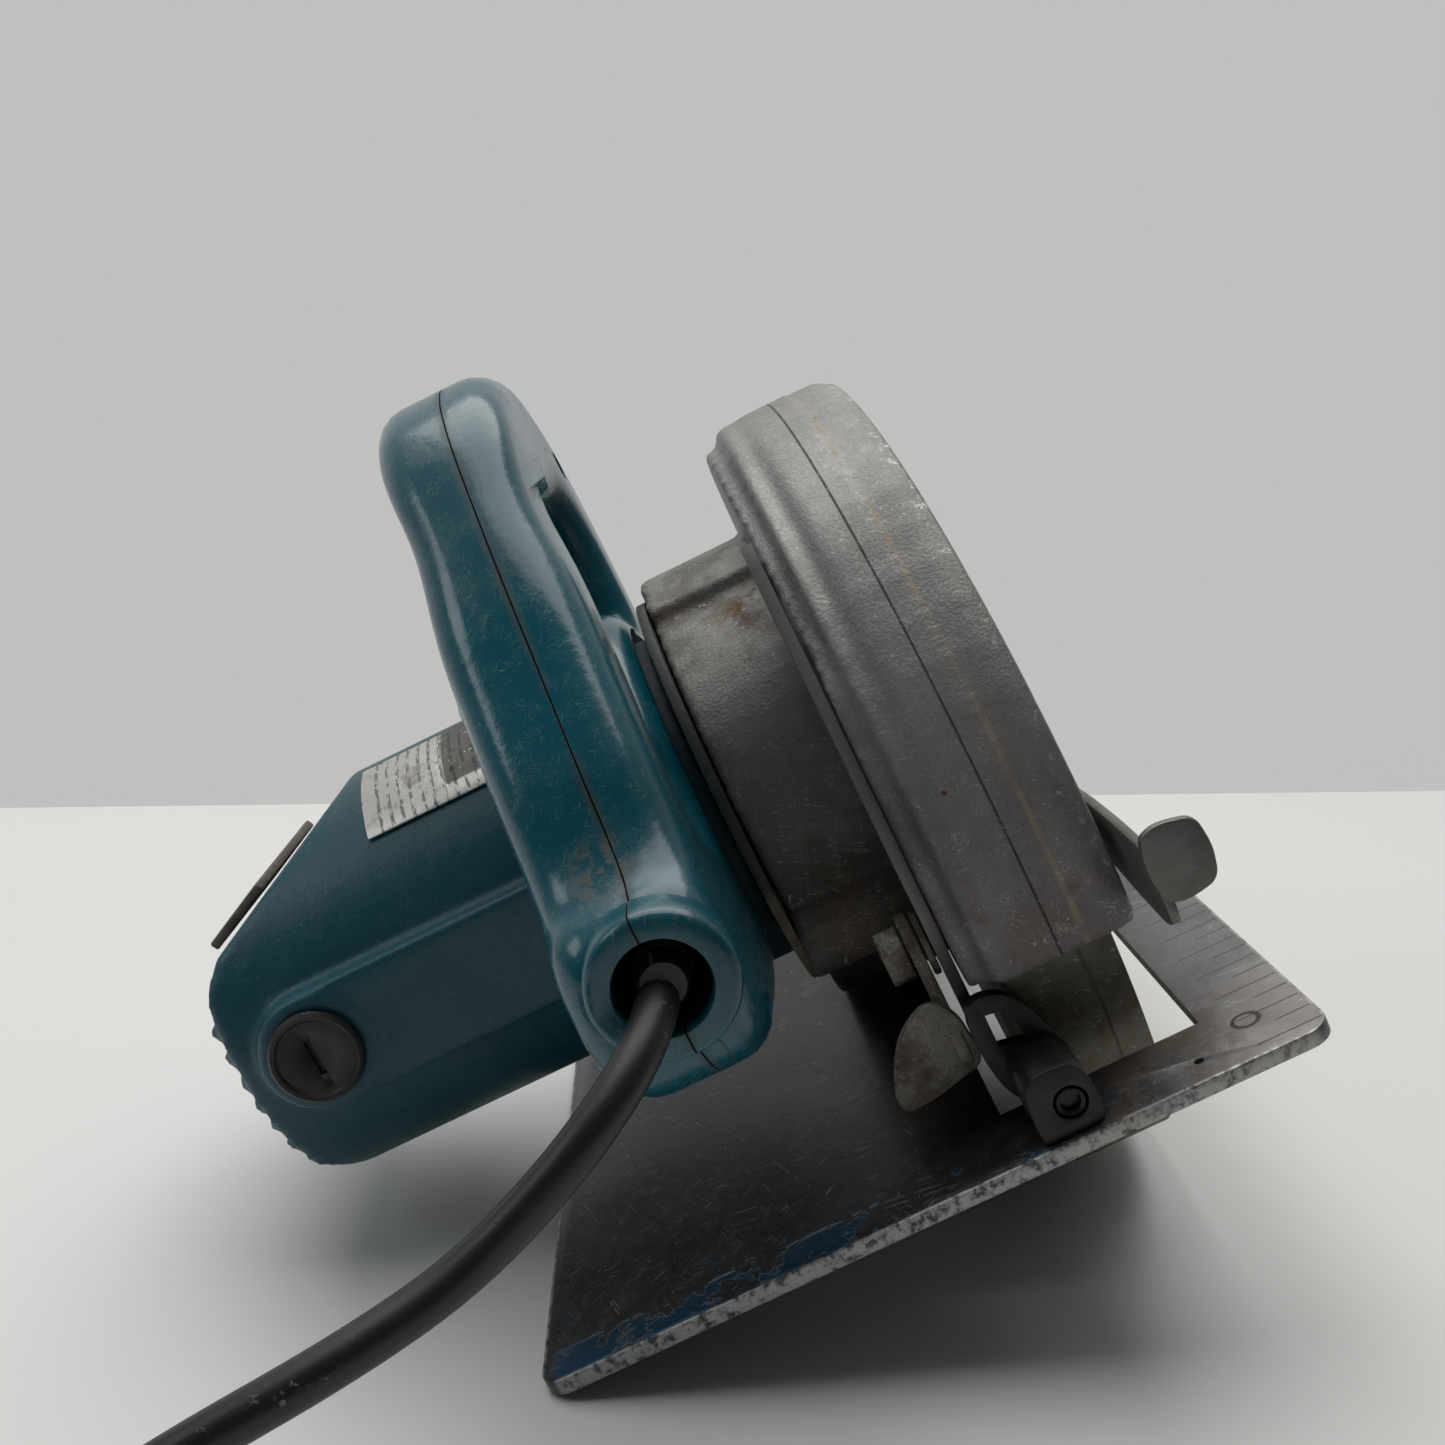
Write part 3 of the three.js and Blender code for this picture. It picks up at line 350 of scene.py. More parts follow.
tape = Finish("tie_tape", (0.012, 0.012, 0.013), 0.6)
tape.height = tape.noise(0.9, 4) * 0.4
tape.done(0.4)
for number, turn in enumerate((-65, 60)):
    bm = bmesh.new()
    ring = bmesh.ops.create_circle(bm, segments=24, radius=1)["verts"]
    for v in ring:
        square = max(abs(v.co.x), abs(v.co.y)) ** 0.55
        v.co = (v.co.x * 11.6 / square + COIL_MID, 0, v.co.y * 10.4 / square + 10.55)
    swept = bmesh.ops.extrude_edge_only(bm, edges=bm.edges[:])["geom"]
    bmesh.ops.translate(bm, vec=(0, 7, 0), verts=[g for g in swept if isinstance(g, bmesh.types.BMVert)])
    bmesh.ops.recalc_face_normals(bm, faces=bm.faces)
    bmesh.ops.solidify(bm, geom=bm.faces[:], thickness=0.2)
    bmesh.ops.recalc_face_normals(bm, faces=bm.faces)
    place = TABLE @ Matrix.Translation(COIL) @ Matrix.Rotation(math.radians(turn), 4, "Z")
    show(bm, "coil_tie_" + str(number + 1), "saw_body", "cord_rubber", tape, (), 50, place)


# ---- Base plate ----------------------------------------------------------------------------
# Pressed steel, 3 mm thick, once painted blue. The paint is left only along the rear edge; the
# rest is scratched dark metal, bright on worn rims, with a scale punched on the right. Painted
# shade darkens its left part under the motor, and painted light brightens its right strip.
def solid_of(*nodes):
    """A merged copy of CAD solids, in the saw's millimetres."""
    bm = bmesh.new()
    for node in nodes:
        bm.from_mesh(frame["nodes"][node].data)
    bmesh.ops.remove_doubles(bm, verts=bm.verts, dist=2e-5)
    bmesh.ops.transform(bm, matrix=SAW.inverted(), verts=bm.verts)
    return bm


def body_of(node):
    return next(b for b, nodes in frame["record"]["behaviour"]["bodies"].items() if node in nodes)


def slot_of(node):
    return next(s["material_slot"] for s in frame["record"]["subparts"] if s["node"] == node)


def crisp(node, finish, width):
    """The CAD solid with its sharp edges broken, as a cut or pressed part has them."""
    bm = solid_of(node)
    bmesh.ops.dissolve_limit(bm, angle_limit=math.radians(1), verts=bm.verts, edges=bm.edges)
    hard = [e for e in bm.edges if len(e.link_faces) == 2 and e.calc_face_angle() > math.radians(35)]
    bmesh.ops.bevel(bm, geom=hard, offset=width, segments=2, affect="EDGES", profile=0.5, material=-1,
                    clamp_overlap=True)
    show(bm, node + "_made", body_of(node), slot_of(node), finish, [node], 30)


def steel(name, color=(0.24, 0.245, 0.25), roughness=0.42, dirt=(0.05, 0.047, 0.042)):
    """Worn plain steel with dull patches, fine scratches and dirt."""
    made = Finish(name, color, roughness, 0.9)
    made.cover(made.noise(0.05, 4).step(0.4, 0.7) * 0.55, tuple(c * 0.6 for c in color), roughness + 0.14)
    scored = made.scratches((40, 1, 1), (0, 0, 0.5), 1.0, 0.01, 0.2)
    made.cover(scored, tuple(min(c * 2, 0.8) for c in color), 0.3)
    made.cover(made.noise(0.35, 5, 0.7).step(0.6, 0.72) * 0.6, dirt, 0.8)
    return made


plate = Finish("base_steel", (0.12, 0.128, 0.135), 0.34, 0.8)
x, y, z = (plate.axis(i) for i in range(3))
# Painted shade and painted reflection: the plate's left part, under the motor, darkened near black.
plate.cover(y.step(-116, -96) * 0.8, (0.03, 0.034, 0.041), 0.3)
# Painted light: the plate's right strip, beyond the case, lightened.
plate.cover(y.step(-122, -138) * 0.8, (0.2, 0.19, 0.183), 0.5)
plate.cover(plate.noise(0.035, 5, 0.65).step(0.42, 0.7) * 0.55, (0.07, 0.075, 0.082), 0.46)
plate.cover(plate.noise(0.3, 5, 0.7).step(0.56, 0.7) * 0.35, (0.12, 0.115, 0.105), 0.6)
for tilt, scale, share in ((0.35, 0.9, 0.09), (-0.9, 1.1, 0.07), (1.35, 0.8, 0.08), (-0.3, 1.4, 0.05)):
    scored = plate.scratches((60, 1, 1), (0, 0, tilt), scale, 0.007, share)
    plate.cover(scored * 0.55, (0.34, 0.34, 0.34), 0.34, -0.08)
rust = plate.near((14, -116, 3), 34, 0.2) * plate.noise(0.12, 5, 0.7).step(0.42, 0.62)
plate.cover(rust * 0.7, (0.1, 0.065, 0.037), 0.85, 0.12)
paint = x.step(9.5, 8.3) * x.step(0.2, 1.6) * y.step(-112, -108)
paint = paint * (plate.noise(0.07, 4, 0.6) + plate.noise(0.5, 3) * 0.25).step(0.66, 0.68)
paint = paint * z.step(2.4, 2.9)
plate.cover(paint, (0.012, 0.06, 0.115), 0.4, 0.5)
flakes = plate.noise(0.16, 4, 0.7).step(0.665, 0.675) * x.step(24, 12)
plate.cover(flakes * z.step(2.4, 2.9), (0.014, 0.055, 0.1), 0.42, 0.4)
SCALE_START = 3.6
TICK_GAP = 5.1
tick = (((x - SCALE_START) * (1 / TICK_GAP)).math("FRACT") - 0.5).math("ABSOLUTE").step(0.45, 0.47)
long_tick = (((x - SCALE_START) * (0.5 / TICK_GAP)).math("FRACT") - 0.5).math("ABSOLUTE").step(0.475, 0.485)
marks = tick * y.step(-142.6, -143) + long_tick * y.step(-137, -137.4) * y.step(-143, -142.6)
marks = marks * y.step(-149.3, -149) * z.step(2.5, 2.9)
plate.cover(marks.math("MINIMUM", 1.0) * 0.75, (0.05, 0.05, 0.05), 0.6, -0.7)
RING = (13, -138.7, 3)
ring_mark = plate.near(RING, 3.1, 0.8) * (1 - plate.near(RING, 2.2, 0.8))
plate.cover(ring_mark, (0.05, 0.045, 0.04), 0.6, -0.5)
worn = x.step(0.9, 0.2) + y.step(-149.2, -149.8) + y.step(-0.8, -0.2)
worn = worn.math("MINIMUM", 1.0) * plate.noise(0.4, 5, 0.7).step(0.38, 0.55)
plate.cover(worn * 0.8, (0.4, 0.4, 0.39), 0.4, -0.1)
plate.height = plate.noise(0.6, 4, 0.6) * 0.15 + plate.height
plate.done(0.35)
crisp("base_plate", plate, 0.35)


# ---- Base fittings -------------------------------------------------------------------------
# The tilt quadrant at the front, the black block and bolt of the rear pivot, the screw of the
# rip fence, and the yoke, pins and wing bolt that carry the saw at the front.
ACROSS = {"X": Matrix(((0, 0, 1, 0), (1, 0, 0, 0), (0, 1, 0, 0), (0, 0, 0, 1))),
          "Y": Matrix.Rotation(math.pi / 2, 4, "X")}


def outline_solid(outlines, low, high, rounding, axis="Y"):
    """A slab with rounded rims, square to axis; the first smooth outline is its rim, others are holes."""
    shape = bpy.data.curves.new("outline", "CURVE")
    shape.dimensions = "2D"
    shape.fill_mode = "BOTH"
    shape.resolution_u = 6
    shape.offset = -rounding
    shape.bevel_depth = rounding
    shape.bevel_resolution = 4 if rounding > 2 else 1
    shape.extrude = (high - low) / 2 - rounding
    for points in outlines:
        loop = shape.splines.new("BEZIER")
        loop.bezier_points.add(len(points) - 1)
        loop.use_cyclic_u = True
        for knot, place in zip(loop.bezier_points, points):
            knot.co = (*place, 0)
            knot.handle_left_type = knot.handle_right_type = "AUTO"
    holder = bpy.data.objects.new("outline", shape)
    bpy.context.scene.collection.objects.link(holder)
    mesh = bpy.data.meshes.new_from_object(holder.evaluated_get(bpy.context.evaluated_depsgraph_get()))
    bpy.data.objects.remove(holder)
    bm = bmesh.new()
    bm.from_mesh(mesh)
    bmesh.ops.remove_doubles(bm, verts=bm.verts, dist=0.002)
    middle = Vector((0, 0, 0))
    middle["XYZ".index(axis)] = (low + high) / 2
    bmesh.ops.transform(bm, matrix=Matrix.Translation(middle) @ ACROSS[axis], verts=bm.verts)
    bmesh.ops.recalc_face_normals(bm, faces=bm.faces)
    return bm


def gather(*parts):
    """Several closed meshes as one piece."""
    whole = bmesh.new()
    for part in parts:
        mesh = bpy.data.meshes.new("part")
        part.to_mesh(mesh)
        whole.from_mesh(mesh)
        bpy.data.meshes.remove(mesh)
    return whole


bare = steel("fitting_steel")
bare.height = bare.noise(1.2, 3) * 0.2
bare.done(0.3)
rusty = steel("rusty_steel", (0.2, 0.185, 0.165), 0.55, (0.12, 0.085, 0.055))
rusty.cover(rusty.noise(0.11, 5, 0.7).step(0.48, 0.66) * 0.7, (0.15, 0.1, 0.062), 0.85, 0.2)
rusty.cover(rusty.noise(0.8, 3, 0.7).step(0.62, 0.7) * 0.8, (0.36, 0.34, 0.3), 0.85, 0.15)
rusty.height = rusty.noise(0.9, 5, 0.7) * 0.5 + rusty.height
rusty.done(0.45)
black = Finish("black_steel", (0.011, 0.011, 0.014), 0.4, 0.3)
black.cover(black.noise(0.06, 4, 0.6).step(0.5, 0.7) * 0.55, (0.045, 0.037, 0.03), 0.75)
black.cover(black.noise(0.4, 5, 0.7).step(0.62, 0.7) * 0.35, (0.09, 0.08, 0.065), 0.8)
black.cover(black.axis(2).step(30, 44) * 0.9, (0.2, 0.2, 0.195), 0.5)
black.height = black.noise(0.9, 4, 0.6) * 0.15
black.done(0.3)
gray_cast = Finish("yoke_casting", (0.3, 0.305, 0.3), 0.6, 0.65)
gray_cast.cover(gray_cast.noise(0.07, 4).step(0.42, 0.7) * 0.6, (0.13, 0.12, 0.1), 0.75)
gray_cast.height = gray_cast.noise(1.1, 4, 0.6) * 0.5
gray_cast.done(0.5)
dark_plastic = Finish("black_plastic", (0.02, 0.02, 0.022), 0.45)
dark_plastic.cover(dark_plastic.noise(0.12, 4, 0.6).step(0.45, 0.7) * 0.5, (0.07, 0.066, 0.06), 0.7)
dark_plastic.height = dark_plastic.noise(1.8, 3) * 0.3
dark_plastic.done(0.25)
for node in ("bevel_quadrant", "depth_pivot_pin", "bevel_pin", "bevel_wing_bolt"):
    crisp(node, bare, 0.3)
crisp("depth_guide", black, 0.12)
BEVEL_Y, BEVEL_Z = -104.2, 9
hole = [(BEVEL_Y + 3 * math.cos(turn * math.pi / 6), BEVEL_Z + 3 * math.sin(turn * math.pi / 6))
        for turn in range(12)]
block = [
    (-97.3, 3.8), (-98, 3.3), (-107.8, 3.3), (-108.6, 4), (-108.6, 12.6), (-107.9, 14.2), (-106.4, 15.8),
    (-105.6, 16), (-100.2, 16), (-99.2, 15.6), (-97.4, 13.2), (-97.2, 12.3),
]
bm = outline_solid([block, hole], 1.6, 15, 0.5, "X")
show(bm, "rear_bracket_made", "base", "base_steel", black, ["rear_bracket"], 40)
profile = [
    (0, 3.4), (1.7, 3.4), (1.9, 2.1), (2.5, 1.8), (2.85, 2.3), (2.85, 16), (2.6, 16.2), (2.6, 21), (0, 21),
]
bolt = turned(profile, (0, BEVEL_Y, BEVEL_Z), "X", 24)
show(bolt, "rear_pivot_bolt_made", body_of("rear_pivot_bolt"), "base_steel", black, ["rear_pivot_bolt"], 40)
crisp("rip_fence_screw", dark_plastic, 0.5)
crisp("front_yoke", gray_cast, 0.5)


# ---- Lower guard ---------------------------------------------------------------------------
# Thin cast alloy round the blade's lower half, tarnished olive grey, with a crease along its
# rim and rust where it meets the base. Its sheet lever ends in a bent tab for the hand.
guard = Finish("guard_alloy", (0.12, 0.116, 0.097), 0.55, 0.6)
guard.cover(guard.noise(0.05, 5, 0.6).step(0.42, 0.68) * 0.7, (0.055, 0.049, 0.038), 0.7)
guard.cover(guard.noise(0.3, 5, 0.7).step(0.58, 0.7) * 0.6, (0.17, 0.16, 0.135), 0.75)
guard.cover(guard.scratches((1, 30, 1), (0.2, 0, 0.3), 0.9, 0.01, 0.15), (0.3, 0.3, 0.28), 0.4)
low = guard.axis(2).step(20, 5) * guard.noise(0.2, 5, 0.7).step(0.45, 0.62)
guard.cover(low * 0.7, (0.2, 0.14, 0.08), 0.85, 0.1)
crease = guard.axis(1).band(-117.8, 0.5)
guard.cover(crease * 0.5, (0.06, 0.05, 0.04), 0.7, -0.8)
guard.height = guard.noise(0.7, 5, 0.6) * 0.45 + guard.height
guard.done(0.5)
crisp("lower_guard", guard, 0.4)
tab = Finish("lever_alloy", (0.15, 0.15, 0.143), 0.48, 0.6)
tab.cover(tab.noise(0.09, 4).step(0.4, 0.68) * 0.6, (0.085, 0.083, 0.076), 0.62)
tab.cover(tab.noise(0.5, 4, 0.7).step(0.6, 0.7) * 0.5, (0.22, 0.21, 0.19), 0.7)
tab.height = tab.noise(1.2, 4) * 0.35
tab.done(0.35)
arm = [
    (-2.7, 38), (-2.3, 33), (1, 31), (8, 30.8), (42, 33), (52, 31.6), (55.4, 33.4), (55.7, 41), (52.5, 43.2),
    (42, 45), (24, 46.5), (4, 46.9), (-1.6, 46.4), (-2.8, 43.4),
]
foot = [(44, 38), (44.6, 33), (49, 32.5), (54.4, 33), (55, 38), (54.4, 41.5), (49, 42), (44.6, 41.5)]
bent = [
    (-131.6, 47.6), (-132.6, 48.9), (-138.8, 49), (-141.2, 47.8), (-142.1, 45.2), (-142, 39.4),
    (-140.9, 36.8), (-138.6, 35.8), (-132.8, 36), (-131.7, 37.2),
]
bm = gather(outline_solid([arm], -133.2, -131.3, 0.5), outline_solid([foot], -132.6, -124.7, 0.4),
            outline_solid([bent], -3, -1, 0.7, "X"))
show(bm, "guard_lever_made", "guard", "guard_alloy", tab, ["guard_lever"], 40)


# ---- Blade and spindle ---------------------------------------------------------------------
# Ground steel blade with 24 teeth between two flanges, held by a hex bolt on a steel spindle
# that the drive gear turns. The ball bearings are plain rings.
ground = Finish("blade_steel", (0.42, 0.42, 0.41), 0.34, 1.0)
ground.cover(ground.noise(0.05, 5).step(0.42, 0.7) * 0.5, (0.25, 0.235, 0.21), 0.5)
AXIS_X, AXIS_Z = 107, 39.1
from_axis = {0: ground.place, 1: (AXIS_X, -114, AXIS_Z)}
rings = ground.node("ShaderNodeVectorMath", {"operation": "DISTANCE"}, from_axis, 1)
ground.height = (rings * 6.0).math("SINE") * 0.1 + ground.noise(0.8, 3) * 0.2
ground.cover(rings.step(66, 80) * ground.noise(0.3, 4).step(0.45, 0.6) * 0.6, (0.11, 0.085, 0.06), 0.6)
ground.done(0.15)
crisp("blade", ground, 0.12)
for node, width in (("spindle", 0.3), ("inner_flange", 0.4), ("outer_flange", 0.4),
                    ("spindle_bearing", 0.3)):
    crisp(node, bare, width)
crisp("drive_gear", bare, 0.1)
crisp("blade_bolt", black, 0.4)


# ---- Blade case and gear housing -----------------------------------------------------------
# One light-alloy casting: the open-bottomed case over the blade, the barrel of the gear
# housing and the nose to the front pivot. Its skin is coarse and dull, with a parting line,
# a raised ridge, knocks on the right shoulder and a few specks of red paint.
def settle(made):
    """Turns an object's modifiers into its mesh."""
    ready = made.evaluated_get(bpy.context.evaluated_depsgraph_get())
    mesh = bpy.data.meshes.new_from_object(ready)
    made.modifiers.clear()
    old = made.data
    made.data = mesh
    bpy.data.meshes.remove(old)


def cast(node, finish, voxel, rounds, shape=None):
    """The CAD solid as a casting or moulding with every edge rounded, then shaped point by point."""
    made = show(solid_of(node), node + "_cast", body_of(node), slot_of(node), finish, [node], 180)
    skin = made.modifiers.new("skin", "REMESH")
    skin.mode = "VOXEL"
    skin.voxel_size = voxel / 1000
    skin.use_smooth_shade = True
    soft = made.modifiers.new("soft", "SMOOTH")
    soft.factor = 0.5
    soft.iterations = rounds
    settle(made)
    back = SAW.inverted()
    for v in made.data.vertices if shape else ():
        v.co = SAW @ shape(back @ v.co)
    made.data.shade_smooth()
    if not made.data.materials:
        made.data.materials.append(finish.material)
    return made


case = Finish("case_casting", (0.25, 0.25, 0.243), 0.5, 0.5)
x, y, z = (case.axis(i) for i in range(3))
case.cover(case.noise(0.03, 5, 0.6).step(0.4, 0.66) * 0.6, (0.17, 0.168, 0.163), 0.58)
case.cover(case.noise(0.8, 4, 0.7).step(0.52, 0.66) * 0.35, (0.38, 0.38, 0.37), 0.48)
under = z.step(95, 40) * case.noise(0.05, 4, 0.6).step(0.28, 0.6)
case.cover(under * 0.65, (0.12, 0.1, 0.094), 0.66)
barrel = y.step(-97.5, -96)
# Painted shade: the barrel darkened all over and its lower part nearly black; the rust-brown patches after are its
# own stains.
case.cover(barrel * 0.4, (0.14, 0.135, 0.125), 0.55)
case.cover(barrel * z.step(85, 45) * 0.6, (0.045, 0.042, 0.038), 0.66)
case.cover(barrel * case.noise(0.06, 5, 0.65).step(0.5, 0.64) * 0.4, (0.08, 0.068, 0.052), 0.8)
for center, radius, soft, scale, low, high, most, tone, height in (
        ((64, -93, 104), 13, 0.1, 0.22, 0.48, 0.6, 1.0, (0.2, 0.11, 0.045), 0.15),
        ((76, -76, 102), 12, 0.1, 0.2, 0.52, 0.62, 0.6, (0.17, 0.11, 0.055), 0),
        ((45, -86, 40), 15, 0.3, 0.14, 0.38, 0.6, 0.8, (0.16, 0.125, 0.085), 0),
        ((30, -95, 66), 20, 0.2, 0.09, 0.48, 0.62, 0.5, (0.11, 0.07, 0.045), 0)):
    rust = case.near(center, radius, soft) * case.noise(scale, 5, 0.7).step(low, high)
    case.cover(rust * most, tone, 0.85, height)
rim = y.step(-102.5, -104)
seam = y.band(-114.4, 0.34) * rim
case.cover(seam * 0.85, (0.03, 0.028, 0.027), 0.7, -0.5)
ridge = (y + case.noise(0.06, 2) * 1.6).band(-118.6, 0.8) * case.noise(0.12, 4, 0.6).step(0.4, 0.58) * rim
case.cover(ridge * 0.6, (0.36, 0.29, 0.2), 0.7, 0.15)
case.cover(case.scratches((1, 40, 1), (0.5, 0, 0.2), 1.0, 0.008, 0.12) * 0.7, (0.5, 0.49, 0.48), 0.4)
case.cover(case.scratches((40, 1, 1), (0, 0.9, 0.4), 0.9, 0.008, 0.12) * 0.7, (0.48, 0.47, 0.46), 0.4)
chips = y.step(-126.2, -128) * y.step(-130, -129) * case.noise(0.28, 5, 0.75).step(0.56, 0.62)
case.cover(chips * rim * 0.85, (0.5, 0.49, 0.48), 0.35, -0.06)
case.cover(case.noise(0.16, 5, 0.75).step(0.69, 0.71) * 0.8, (0.03, 0.03, 0.028), 0.8, -0.3)
case.cover(case.spots(0.11, 0.085, 0.22) * rim * x.step(80, 60) * 0.85, (0.12, 0.008, 0.015), 0.6)
case.cover(case.noise(0.09, 4, 0.65).step(0.58, 0.7) * rim * z.step(66, 40) * 0.3, (0.1, 0.03, 0.034), 0.7)
case.height = case.noise(1.5, 3, 0.6) * 0.42 + case.noise(0.45, 3) * 0.2 + case.height
case.done(0.5, 0.0008)


CASE_INSIDE = 91.9
CASE_LEFT = -96.5
CASE_FLOOR = 27.9
VALLEY_Y = -105.2
RIDGE_Y = -118.9


def between(value):
    return max(0.0, min(1.0, value))


def case_form(p):
    """Draws in the valley behind the left flange, steps down at the ridge and rounds the right shoulder."""
    way = Vector((p.x - AXIS_X, 0, p.z - AXIS_Z))
    reach = way.length
    if reach < CASE_INSIDE or p.y > CASE_LEFT or p.z < CASE_FLOOR:
        return p
    turn = math.degrees(math.atan2(way.z, way.x))
    deep = between((turn - 98) / 30) * between((178 - turn) / 20)
    inwards = (0.4 + 1.5 * deep) * math.exp(-(((p.y - VALLEY_Y) / 2.4) ** 2))
    over = max(0.0, RIDGE_Y - p.y)
    inwards += 0.3 if over > 0 else 0.0
    inwards += max(0.0, over - 4.5) ** 2 * 0.035
    share = between((reach - CASE_INSIDE) / 1.5)
    fade = between((p.z - 28.5) / 8)
    return p - way.normalized() * inwards * share * fade


cast("blade_case", case, 1.1, 3, case_form)
crisp("bearing_box", gray_cast, 0.5)


# ---- Motor ---------------------------------------------------------------------------------
# Moulded teal housing with a pad round each brush cap, two ridges and a scalloped end, a grey
# vented cover on its shoulder, and inside it the stator, armature, brushes and fan.
motor = Finish("motor_teal", (0.002, 0.068, 0.094), 0.4)
y = motor.axis(1)
motor.cover(motor.noise(0.02, 4, 0.6).step(0.4, 0.66) * 0.5, (0.0025, 0.048, 0.068), 0.46)
motor.cover(motor.noise(0.06, 5, 0.7).step(0.54, 0.68) * 0.3, (0.022, 0.06, 0.072), 0.62)
motor.cover(motor.noise(0.5, 5, 0.75).step(0.66, 0.71) * 0.4, (0.07, 0.12, 0.13), 0.7)
for tilt, share in (((0.5, 0, 0.3), 0.14), ((-0.4, 0, 0.9), 0.12)):
    motor.cover(motor.scratches((1, 40, 1), tilt, 0.9, 0.008, share) * 0.4, (0.13, 0.2, 0.21), 0.6)
motor.cover(motor.noise(0.13, 5, 0.75).step(0.67, 0.685) * 0.6, (0.01, 0.016, 0.018), 0.8)
# Painted shade: the motor's right end, beside the handle and case, darkened to blue-black.
motor.cover(y.step(-40, -50) * 0.75, (0.004, 0.02, 0.026), 0.7)
motor.cover(motor.noise(0.3, 4, 0.7).step(0.45, 0.62) * y.step(30, 38) * 0.3, (0.05, 0.055, 0.055), 0.75)
motor.height = motor.noise(1.5, 3, 0.5) * 0.25 + motor.noise(0.12, 2) * 0.5
motor.done(0.3)
cast("motor_housing", motor, 1.1, 3)

cover = Finish("vent_cover", (0.1, 0.09, 0.08), 0.68)
cover.cover(cover.noise(0.2, 5, 0.7).step(0.45, 0.65) * 0.7, (0.2, 0.175, 0.145), 0.85)
cover.height = cover.noise(1.0, 4) * 0.4
cover.done(0.4)
crisp("motor_end_cover", cover, 0.5)

layers = Finish("laminations", (0.16, 0.155, 0.15), 0.5, 0.8)
stack = (layers.axis(1) * 12.0).math("SINE")
layers.height = stack * 0.4
layers.cover(layers.noise(0.1, 4).step(0.45, 0.65) * 0.6, (0.1, 0.05, 0.02), 0.4)
layers.done(0.4)
copper = Finish("commutator_copper", (0.5, 0.24, 0.12), 0.35, 0.9)
copper.cover(copper.noise(0.2, 4).step(0.45, 0.65) * 0.6, (0.16, 0.08, 0.05), 0.5)
copper.height = copper.noise(0.9, 3) * 0.2
copper.done(0.2)
brass = Finish("holder_brass", (0.5, 0.36, 0.14), 0.35, 0.95)
brass.cover(brass.noise(0.3, 4).step(0.45, 0.65) * 0.6, (0.2, 0.13, 0.06), 0.5)
brass.height = brass.noise(0.9, 3) * 0.2
brass.done(0.2)
carbon = Finish("brush_carbon", (0.03, 0.03, 0.03), 0.5)
carbon.cover(carbon.noise(0.9, 4).step(0.45, 0.65) * 0.5, (0.07, 0.07, 0.07), 0.4)
carbon.height = carbon.noise(1.5, 3) * 0.2
carbon.done(0.2)
inside = {
    "stator": layers, "armature_core": layers, "commutator": copper, "fan": dark_plastic,
    "brush_holder_rear": brass, "brush_holder_front": brass, "brush_rear": carbon, "brush_front": carbon,
    "armature_shaft": bare, "shaft_bearing_rear": bare, "shaft_bearing_front": bare,
}
for node, finish in inside.items():
    crisp(node, finish, 0.15)

baffle_shaded = Finish("baffle_cream_and_shade", (0.2, 0.175, 0.13), 0.7)
baffle_shaded.cover(baffle_shaded.noise(0.14, 5, 0.7).step(0.42, 0.64) * 0.75, (0.1, 0.085, 0.06), 0.85)
# Painted shade: above about 50 mm the cream baffle is covered dark blue-black, the shade between barrel and
# handle.
baffle_shaded.cover(baffle_shaded.axis(2).step(47, 55) * 0.92, (0.008, 0.016, 0.02), 0.6)
baffle_shaded.height = baffle_shaded.noise(0.8, 4) * 0.4
baffle_shaded.done(0.4)
crisp("baffle_plate", baffle_shaded, 0.35)


# ---- Brush caps ----------------------------------------------------------------------------
# Black moulded screw caps over the carbon brushes, dusty, each with a driver slot across a
# slightly sunk face inside a rounded rim.
cap = Finish("cap_black", (0.008, 0.008, 0.01), 0.42)
cap.cover(cap.noise(0.25, 5, 0.7).step(0.45, 0.68) * 0.5, (0.035, 0.032, 0.028), 0.8)
cap.cover(cap.noise(0.9, 4, 0.7).step(0.62, 0.68) * 0.4, (0.09, 0.085, 0.075), 0.85)
cap.height = cap.noise(1.3, 4) * 0.35
cap.done(0.35)
GEAR_REACH = 34.1  # from the blade's axis to the motor's
GEAR_TURN = math.radians(133)
MOTOR_X = AXIS_X + GEAR_REACH * math.cos(GEAR_TURN)
MOTOR_Z = AXIS_Z + GEAR_REACH * math.sin(GEAR_TURN)
CAP_Y = 20.5
CAP_Z = MOTOR_Z - 1.5
for side, where in ((-1, "rear"), (1, "front")):
    rings = [(0, 36.6), (7.3, 36.6), (7.3, 42.3), (9.0, 42.3), (9.3, 42.8), (9.2, 43.6), (8.6, 44.1),
             (7.9, 44.0), (7.4, 43.5), (0, 43.4)]
    bm = turned([(r, side * h) for r, h in rings], (MOTOR_X, CAP_Y, CAP_Z), "X", 56)
    node = "brush_cap_" + where
    piece = show(bm, node + "_made", "saw_body", "black_plastic", cap, [node], 35)
    bm = bmesh.new()
    place = Matrix.Translation((MOTOR_X + side * 43.6, CAP_Y, CAP_Z))
    bmesh.ops.create_cube(bm, size=1, matrix=place @ Matrix.Diagonal((2.4, 1.3, 7.4, 1)))
    slotter = show(bm, "slotter", "saw_body", "black_plastic", cap)
    cutting = piece.modifiers.new("slot", "BOOLEAN")
    cutting.object = slotter
    settle(piece)
    bpy.data.objects.remove(slotter)


